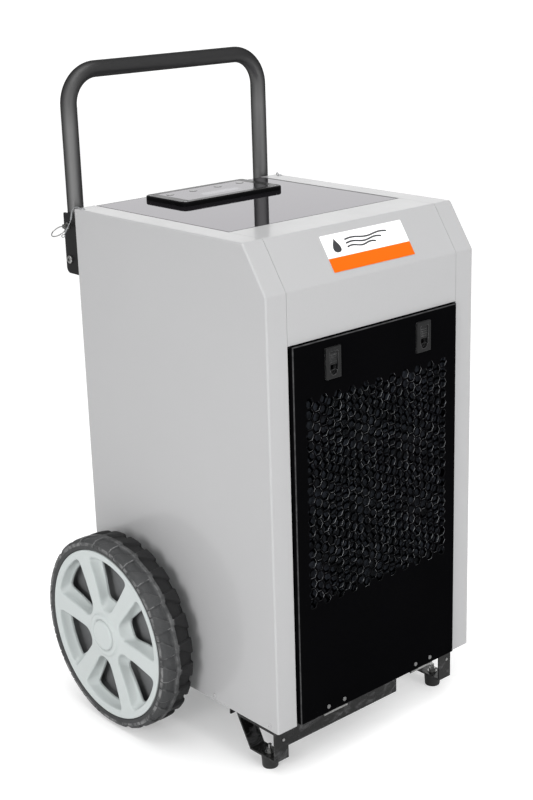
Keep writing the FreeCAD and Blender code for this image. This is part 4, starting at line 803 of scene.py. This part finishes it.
def build_rim(side, name, replaced, body):
    bm = bmesh.new()
    known = {}

    def vertex(degrees, radius, offset):
        """A vertex, shared by all that ask for the same place."""
        point = Vector(wheel_coords(side, degrees, radius, offset))
        key = tuple(round(c * 1e6) for c in point)
        if key not in known:
            known[key] = bm.verts.new(point)
        return known[key]

    columns = [sector_column(radius, angle) for radius, angle in sector_outline()]
    for k in range(SECTORS):
        centre = FIRST_SECTOR + SECTOR_ANGLE * k
        rows = list(zip(*[[vertex(centre + angle, radius, offset)
                           for radius, angle, offset in column] for column in columns]))
        grid_faces(bm, rows[:-3])
        # The back of the face here and the hollow below take the second, darker finish, which is
        # painted shade
        grid_faces(bm, rows[-4:], material=1)
    for profile, material in ((RIM_LIP, 0), (RIM_BARREL, 0), (RIM_BACK, 0), (RIM_HOLLOW, 1)):
        rows = [[vertex(FIRST_SECTOR - HALF_SECTOR + SECTOR_ANGLE * j / ARC_STEPS, radius, offset)
                 for j in range(SECTORS * ARC_STEPS)] for radius, offset in profile]
        grid_faces(bm, rows, material=material)
    add_piece(name, smooth_mesh(name, bm, sharp=40.0),
              [MATERIALS["rim_plastic"], MATERIALS["rim_inner"]], body, replaced)


def build_hub_cap(side, name, replaced, body):
    bm = bmesh.new()
    steps = 120
    rows = [[bm.verts.new(wheel_coords(side, 360.0 * j / steps, radius, offset))
             for j in range(steps)] for radius, offset in HUB_CAP]
    grid_faces(bm, rows)
    bm.faces.new(rows[0])
    bm.faces.new(rows[-1])
    add_piece(name, smooth_mesh(name, bm, sharp=40.0), [MATERIALS["rim_plastic"]],
              body, replaced)


# ---------------------------------------------------------------------------
# Tyres
# ---------------------------------------------------------------------------
LUGS = 24
STEPS_PER_LUG = 56
LUG_PITCH = 2 * math.pi * TYRE_RADIUS / LUGS
TYRE_TURN = 4.0             # degrees
BORE_RADIUS = 142.9
BORE_OFFSETS = (-23.0, 0.0, 23.0)

# (radius, outward offset) from the bead over the side wall and block ring to the shoulder
TYRE_WALL = (
    (143.1, 27.6), (143.3, 28.4), (144.2, 29.2), (145.6, 29.7), (147.2, 29.9), (149.2, 29.95),
    (149.7, 29.95), (150.1, 29.95), (152.4, 29.9), (154.6, 29.7), (155.0, 29.6), (155.5, 29.4),
    (156.4, 28.8), (157.4, 27.9), (158.3, 26.8))


def smooth_step(x):
    x = np.clip(x, 0.0, 1.0)
    return x * x * (3 - 2 * x)


def ridge(distance, width):
    return np.exp(-(distance / width) ** 2)


def tyre_section():
    """Cross-section from the outer bead over the crowned tread to the inward bead."""
    tread = []
    for w in np.linspace(25.6, -25.6, 61):
        drop = 0.0 if abs(w) < 20 else 0.9 * ((abs(w) - 20) / 5.6) ** 2
        tread.append((TYRE_RADIUS - 0.8 * (w / 25.0) ** 2 - drop, w))
    return np.array([*TYRE_WALL, *tread, *[(r, -w) for r, w in reversed(TYRE_WALL)]])


def tyre_relief(u, radius, w):
    """Height, paler edges (partly wear, partly painted glints) and the lit-half mask, 0 where the
    inward half is painted dark as shade, for a run u round the tyre and an outward offset w.
    """
    zigzag = 2 * np.abs(2 * ((u / LUG_PITCH) % 1.0) - 1) - 1
    # Offset from the wavering middle line: zigzag per lug, 15 slow waves per turn
    line = w - 0.9 * zigzag - 0.7 * np.sin(15.0 * 2 * math.pi * u / (LUGS * LUG_PITCH))
    from_middle = np.abs(w)
    # Lugs run opposite ways on the two halves, half a pitch apart
    way = np.where(w >= 0, 1.0, -1.0)
    phase = (u / LUG_PITCH * way + np.where(w >= 0, 0.0, 0.5)) % 1.0
    slant = np.clip((28.0 - from_middle) / 24.0, 0, 1)
    start = 0.04 + 0.07 * slant
    end = np.where(w > 0, 0.73 - 0.42 * slant, 0.64 - 0.32 * slant)

    def around(place_in_pitch):
        """Distance in mm from a place in the pitch, the short way round."""
        return ((phase - place_in_pitch + 0.5) % 1.0 - 0.5) * LUG_PITCH
    to_start, to_end = around(start), around(end)
    on_lug = (phase > start) & (phase < end)
    nearest = np.minimum(np.abs(to_start), np.abs(to_end))
    sunk = np.where(on_lug, 0.0, smooth_step((nearest - 0.2) / 1.5))
    grooves = np.clip(ridge(to_start, 0.6) + ridge(to_end, 0.6), 0, 1)
    centre = smooth_step((4.8 - np.abs(line - 3.4)) / 1.4)
    on_tread = np.where(w > 0, smooth_step((radius - 154.7) / 1.0),
                        smooth_step((radius - 149.5) / 3.0))
    depth = np.where(w < 0, 5.0, 2.4 + 1.0 * smooth_step((16.0 - from_middle) / 6.0))
    height = -depth * sunk * on_tread * (1 - centre)
    height = height - grooves * on_tread * (1 - centre) - 0.6 * centre

    # Ring of raised blocks on the outer side wall, long and short in turn
    ring = smooth_step((radius - 149.4) / 0.5) * smooth_step((155.2 - radius) / 0.5) * (w > 29.0)
    blocks = (smooth_step((np.abs(around(0.04)) - 0.8) / 0.4)
              * smooth_step((np.abs(around(0.73)) - 0.8) / 0.4))
    height = height + 0.75 * ring * blocks - 0.5 * ring * (1 - blocks)

    # The outer half is greyer than the inward half, which is painted darker as shade
    lit_half = smooth_step((line + 3.0) / 3.0)
    # Paler lug edges, partly wear and partly painted glints, mostly on the outer half
    wear_and_glint = ridge(to_start - 0.9, 0.5) + 0.25 * ridge(to_end + 0.9, 0.5)
    wear_and_glint = wear_and_glint * on_tread * (1 - centre) * lit_half
    wear_and_glint = wear_and_glint + 0.22 * ridge(line - 5.0, 0.7) * on_tread + 0.16 * centre * lit_half
    return height, np.clip(wear_and_glint + 0.5 * ring * blocks * (w > 0), 0, 1), lit_half


def build_tyre(side, name, replaced, body):
    steps = LUGS * STEPS_PER_LUG
    section = tyre_section()
    slope = np.gradient(section, axis=0)
    normal = np.stack([-slope[:, 1], slope[:, 0]], 1)
    normal /= np.linalg.norm(normal, axis=1)[:, None]
    run = (np.arange(steps) / steps * LUGS * LUG_PITCH)[:, None]
    radius, offset = section[None, :, 0], section[None, :, 1]
    height, wear_and_glint, lit_half = tyre_relief(run, radius, offset)
    # The bore closes the section on the inside
    bore = len(BORE_OFFSETS)
    radius = np.hstack([radius + height * normal[None, :, 0], np.full((steps, bore), BORE_RADIUS)])
    offset = np.hstack([offset + height * normal[None, :, 1],
                        np.ones((steps, 1)) * np.array(BORE_OFFSETS)])
    degrees = (np.arange(steps) * 360.0 / steps + TYRE_TURN)[:, None]
    verts = np.stack(wheel_coords(side, degrees, radius, offset), -1)

    count = verts.shape[1]
    i, j = np.arange(steps)[:, None], np.arange(count)[None, :]
    next_i, next_j = (i + 1) % steps, (j + 1) % count
    quads = np.stack([i * count + j, next_i * count + j,
                      next_i * count + next_j, i * count + next_j], -1)
    mesh = bpy.data.meshes.new(name)
    mesh.from_pydata(verts.reshape(-1, 3).tolist(), [], quads.reshape(-1, 4).tolist())
    mesh.update()
    bm = bmesh.new()
    bm.from_mesh(mesh)
    bmesh.ops.recalc_face_normals(bm, faces=bm.faces)
    bm.to_mesh(mesh)
    bm.free()
    for polygon in mesh.polygons:
        polygon.use_smooth = True
    mesh.set_sharp_from_angle(angle=math.radians(50.0))
    for key, values in (("edge_wear_and_glint", wear_and_glint), ("lit_half", lit_half)):
        values = np.pad(values, ((0, 0), (0, bore)))
        attribute = mesh.attributes.new(key, "FLOAT", "POINT")
        attribute.data.foreach_set("value", values.astype(np.float32).ravel())
    add_piece(name, mesh, [MATERIALS["tyre_rubber"]], body, replaced)


for side, hand in ((-1, "left"), (1, "right")):
    wheel = f"wheel_{hand}"
    build_rim(side, f"rim_{hand}_spoked", f"wheel_rim_{hand}", wheel)
    build_hub_cap(side, f"hub_cap_{hand}_domed", f"hub_cap_{hand}", wheel)
    build_tyre(side, f"tyre_{hand}_lugged", f"wheel_tyre_{hand}", wheel)


# ---------------------------------------------------------------------------
# Lanyards of the two lock pins: they bend between cabinet and pin
# ---------------------------------------------------------------------------
# Left-hand runs in cabinet mm
WIRE_PATH = (
    (5.5, 440.0, 748.2), (4.2, 444.0, 751.0), (1.4, 450.0, 751.4), (-1.2, 454.0, 748.0),
    (-2.4, 455.5, 742.0), (-4.2, 456.0, 732.5), (-8.2, 459.5, 721.0), (-12.6, 461.5, 712.0),
    (-14.6, 462.0, 708.4))
SLEEVE_PATH = (
    (-1.6, 454.8, 745.6), (-2.4, 455.5, 742.0), (-3.4, 455.8, 736.0), (-4.5, 456.1, 731.5))
FERRULE_PATH = ((-8.8, 459.8, 719.6), (-11.2, 461.0, 715.0), (-13.0, 461.6, 711.4))
TUBE_STEP = 0.0015


def circle(steps):
    return [2 * math.pi * k / steps for k in range(steps)]


def spline(points):
    """Points along a Catmull-Rom curve."""
    ends = [points[0] * 2 - points[1], *points, points[-1] * 2 - points[-2]]
    curve = []
    for p0, p1, p2, p3 in zip(ends, ends[1:], ends[2:], ends[3:]):
        steps = max(2, int((p2 - p1).length / TUBE_STEP))
        for t in [k / steps for k in range(steps)]:
            curve.append(0.5 * ((2 * p1) + (p2 - p0) * t + (2 * p0 - 5 * p1 + 4 * p2 - p3) * t * t
                                + (3 * p1 - p0 - 3 * p2 + p3) * t ** 3))
    return [*curve, points[-1]]


def add_tube(bm, points, radius, segments):
    """A round bar with flat ends along a smooth curve."""
    curve = spline(points)
    up = Vector((0.3, 0.2, 1.0)).normalized()
    rows = []
    for i, centre in enumerate(curve):
        ahead = (curve[min(i + 1, len(curve) - 1)] - curve[max(i - 1, 0)]).normalized()
        up = (up - ahead * up.dot(ahead)).normalized()
        across = ahead.cross(up)
        rows.append([bm.verts.new(centre + (across * math.cos(a) + up * math.sin(a)) * radius)
                     for a in circle(segments)])
    grid_faces(bm, rows)
    bm.faces.new(rows[0])
    bm.faces.new(list(reversed(rows[-1])))


def add_ring(bm, centre, axis, radius, thickness):
    """A torus; thickness is the radius of its round section."""
    axis = Vector(axis).normalized()
    first = axis.orthogonal().normalized()
    second = axis.cross(first)
    rows = []
    for a in circle(28):
        out = first * math.cos(a) + second * math.sin(a)
        rows.append([bm.verts.new(centre + out * radius
                                  + (out * math.cos(b) + axis * math.sin(b)) * thickness)
                     for b in circle(10)])
    grid_faces(bm, rows, closed_rows=True)


def build_lanyard(hand, mirror, wire):
    def at(x, y, z):
        point = place(x, y, z)
        return Vector((point.x * mirror, point.y, point.z))
    bm = bmesh.new()
    for path, radius, segments in ((WIRE_PATH, 0.00075, 10), (SLEEVE_PATH, 0.0017, 14),
                                   (FERRULE_PATH, 0.0014, 14)):
        add_tube(bm, [at(*point) for point in path], radius, segments)
    # Loop at the pin, then eyelet at the panel corner
    add_ring(bm, at(-16.4, 462.6, 706.6), axis=(mirror * 0.3, 0.85, 0.35),
             radius=0.0026, thickness=0.0007)
    add_ring(bm, at(6.4, 437.6, 748.9), axis=(0, 0, 1), radius=0.0034, thickness=0.0010)
    name = f"lanyard_{hand}"
    obj = add_piece(name, smooth_mesh(name, bm, sharp=60.0), [wire])
    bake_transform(obj)
    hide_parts("retaining_cables")


lanyard_wire = finish("lanyard_wire", (0.42, 0.43, 0.44), roughness=0.34, metallic=1.0,
                      bumps=((2600.0, 1e-4),), mottle=0.2, fine=2500.0, spread=0.12)
for hand, mirror in (("left", 1), ("right", -1)):
    build_lanyard(hand, mirror, lanyard_wire)


# ---------------------------------------------------------------------------
# Name plate pictogram: a drop and three wavy lines in raised ink, in mm on the slope
# ---------------------------------------------------------------------------
INK_BOTTOM, INK_TOP = 0.62, 0.72


def add_ink(bm, outline):
    low, high = [[bm.verts.new(on_slope(x, along, height)) for x, along in outline]
                 for height in (INK_BOTTOM, INK_TOP)]
    for i in range(len(outline)):
        j = (i + 1) % len(outline)
        bm.faces.new((low[i], low[j], high[j], high[i]))
    bm.faces.new(high)
    bm.faces.new(list(reversed(low)))


def drop_outline(x, along, radius):
    return [(x + radius * math.sin(a) * math.sin(a / 2) ** 1.6 * 1.25,
             along + radius * math.cos(a) * 1.25) for a in circle(40)]


def wave_outline(start, end, along, swing, thickness, steps=48):
    """A band of one and a half waves."""
    top = [(start + (end - start) * i / steps,
            along + swing * math.sin(2 * math.pi * 1.5 * i / steps) + thickness / 2)
           for i in range(steps + 1)]
    return top + [(x, y - thickness) for x, y in reversed(top)]


def build_pictogram():
    bm = bmesh.new()
    add_ink(bm, drop_outline(x=163.0, along=39.5, radius=9.0))
    # Each line down is 14 mm shorter
    for k, along in enumerate((45.6, 39.6, 33.6)):
        add_ink(bm, wave_outline(start=183.0, end=270.0 - 14.0 * k, along=along,
                                 swing=1.5, thickness=2.6))
    ink = finish("label_ink", (0.030, 0.031, 0.034), roughness=0.35,
                 bumps=((900.0, 1e-5),), mottle=0.12)
    name = "label_pictogram"
    add_piece(name, smooth_mesh(name, bm, sharp=30.0), [ink], "cabinet")


build_pictogram()


# ---------------------------------------------------------------------------
# Stage: floor, world, lamps, camera
# ---------------------------------------------------------------------------
FLOOR_RINGS = (0.6, 1.2, 2.0, 3.5, 6.0, 9.0)
FLOOR_GLOW = 0.42
# Painted shadow: the floor's glow is lowered by this much under the machine
PAINTED_SHADOW_DIP = 0.17             # how much less the floor glows under the machine
BASE_LOW, BASE_HIGH = 0.34, 0.60
PAPER_WHITE = 1.15          # background strength that the camera sees
# Soft lobes of light: direction, cosine where it starts, cosine where it is full, strength
LOBES = (((-0.80, -0.42, 0.42), 0.72, 0.95, 0.45),      # left
         ((0.10, -0.95, 0.30), 0.80, 0.97, 0.40),       # front
         ((0.0, 0.1, 1.0), 0.80, 0.98, 0.60),           # overhead
         ((0.625, 0.718, 0.31), 0.86, 0.985, 0.80))     # behind, seen in the glass


def floor_material():
    """Pale floor that glows for the camera only, less under the machine, where a shadow is
    painted.
    """
    mat = Material("studio_floor")
    mat.set("Base Color", mat.mix(mat.noise(scale=3.0), (0.74, 0.74, 0.74), (0.76, 0.76, 0.76)))
    mat.set("Roughness", mat.remap(mat.noise(scale=8.0), to=(0.8, 0.9)))
    mat.set("Specular IOR Level", 0.1)
    body = mat.shader.outputs[0]
    glow = mat.node("ShaderNodeEmission")
    # Painted shadow: the glow fades round a point under the machine
    distance = mat.vector_math("DISTANCE", mat.coords, (-0.17, -0.03, 0.0))
    mat.feed(glow.inputs["Strength"],
             mat.remap(distance, span=(0.10, 0.36), to=(FLOOR_GLOW - PAINTED_SHADOW_DIP, FLOOR_GLOW),
                       smooth=True))
    glowing = mat.node("ShaderNodeAddShader")
    mat.feed(glowing.inputs[0], body)
    mat.feed(glowing.inputs[1], glow.outputs[0])
    switch = mat.node("ShaderNodeMixShader")
    mat.feed(switch.inputs[0], mat.node("ShaderNodeLightPath").outputs["Is Camera Ray"])
    mat.feed(switch.inputs[1], body)
    mat.feed(switch.inputs[2], glowing.outputs[0])
    mat.feed(mat.surface, switch.outputs[0])
    return mat


def build_floor():
    bm = bmesh.new()
    rows = [[bm.verts.new((radius * math.cos(a), radius * math.sin(a), 0.0)) for a in circle(96)]
            for radius in FLOOR_RINGS]
    bm.faces.new(rows[0])
    grid_faces(bm, rows)
    bmesh.ops.recalc_face_normals(bm, faces=bm.faces)
    mesh = bpy.data.meshes.new("floor")
    bm.to_mesh(mesh)
    bm.free()
    mesh.materials.append(floor_material().data)
    add_object("floor", mesh)


def build_world():
    """White studio light, weaker low down; the camera itself sees plain white."""
    world = bpy.data.worlds.new("studio")
    scene.world = world
    world.use_nodes = True
    nodes = Nodes(world.node_tree)
    output = nodes.node("ShaderNodeOutputWorld")
    background = nodes.node("ShaderNodeBackground")
    nodes.feed(output.inputs[0], background.outputs[0])
    direction = nodes.node("ShaderNodeTexCoord").outputs["Generated"]

    def combine(operation, first, second):
        return nodes.math(operation, first, second, third=None)
    light = nodes.remap(nodes.separate(direction)[2], span=(-0.05, 0.9), to=(BASE_LOW, BASE_HIGH))
    for towards, start, full, strength in LOBES:
        cosine = nodes.vector_math("DOT_PRODUCT", direction, Vector(towards).normalized())
        lobe = nodes.remap(cosine, span=(start, full), to=(0.0, strength), smooth=True)
        light = combine("ADD", light, lobe)
    camera_ray = nodes.node("ShaderNodeLightPath").outputs["Is Camera Ray"]
    light = combine("MULTIPLY", light, combine("SUBTRACT", 1.0, camera_ray))
    light = combine("ADD", light, combine("MULTIPLY", PAPER_WHITE, camera_ray))
    background.inputs["Color"].default_value = (1.0, 1.0, 1.0, 1.0)
    nodes.feed(background.inputs["Strength"], light)


def add_softbox(name, location, target, size, power, mirrored=True):
    """A rectangular lamp; unless mirrored it leaves no image in glossy faces."""
    light = bpy.data.lights.new(name, "AREA")
    light.shape = "RECTANGLE"
    light.size, light.size_y = size
    light.energy = power
    obj = add_object(name, light)
    obj.location = location
    obj.rotation_mode = "QUATERNION"
    obj.rotation_quaternion = (Vector(target) - Vector(location)).to_track_quat("-Z", "Y")
    obj.visible_camera = False
    obj.visible_glossy = mirrored


def build_camera():
    """Looks from the front left and above, slightly rolled."""
    data = bpy.data.cameras.new("camera")
    data.sensor_fit = "AUTO"
    data.sensor_width = 36.0
    data.lens = 66.39
    data.clip_start, data.clip_end = 0.05, 100.0
    camera = add_object("camera", data)
    location = (-1.50814, -1.72148, 1.24467)
    azimuth, elevation, roll = (math.radians(d) for d in (-41.029, 17.792, -1.737))
    back = Vector((math.sin(azimuth) * math.cos(elevation),
                   -math.cos(azimuth) * math.cos(elevation), math.sin(elevation)))
    forward = -back
    level = forward.cross(Vector((0, 0, 1))).normalized()
    upright = level.cross(forward)
    right = level * math.cos(roll) + upright * math.sin(roll)
    up = upright * math.cos(roll) - level * math.sin(roll)
    camera.matrix_world = Matrix((*zip(right, up, back, location), (0, 0, 0, 1)))
    scene.camera = camera


build_floor()
build_world()
add_softbox("key", (-2.7, -0.95, 1.1), target=(0, 0, 0.45), size=(1.0, 1.3), power=40.0,
            mirrored=False)
add_softbox("front", (0.35, -3.0, 1.3), target=(0, 0, 0.5), size=(1.1, 1.5), power=36.0,
            mirrored=False)
add_softbox("top", (-0.4, -0.6, 3.2), target=(0, 0, 0.8), size=(1.8, 1.8), power=26.0)
build_camera()
scene.view_settings.view_transform = "Standard"
scene.view_settings.look = "None"
scene.view_settings.exposure = 0.0
scene.view_settings.gamma = 1.0
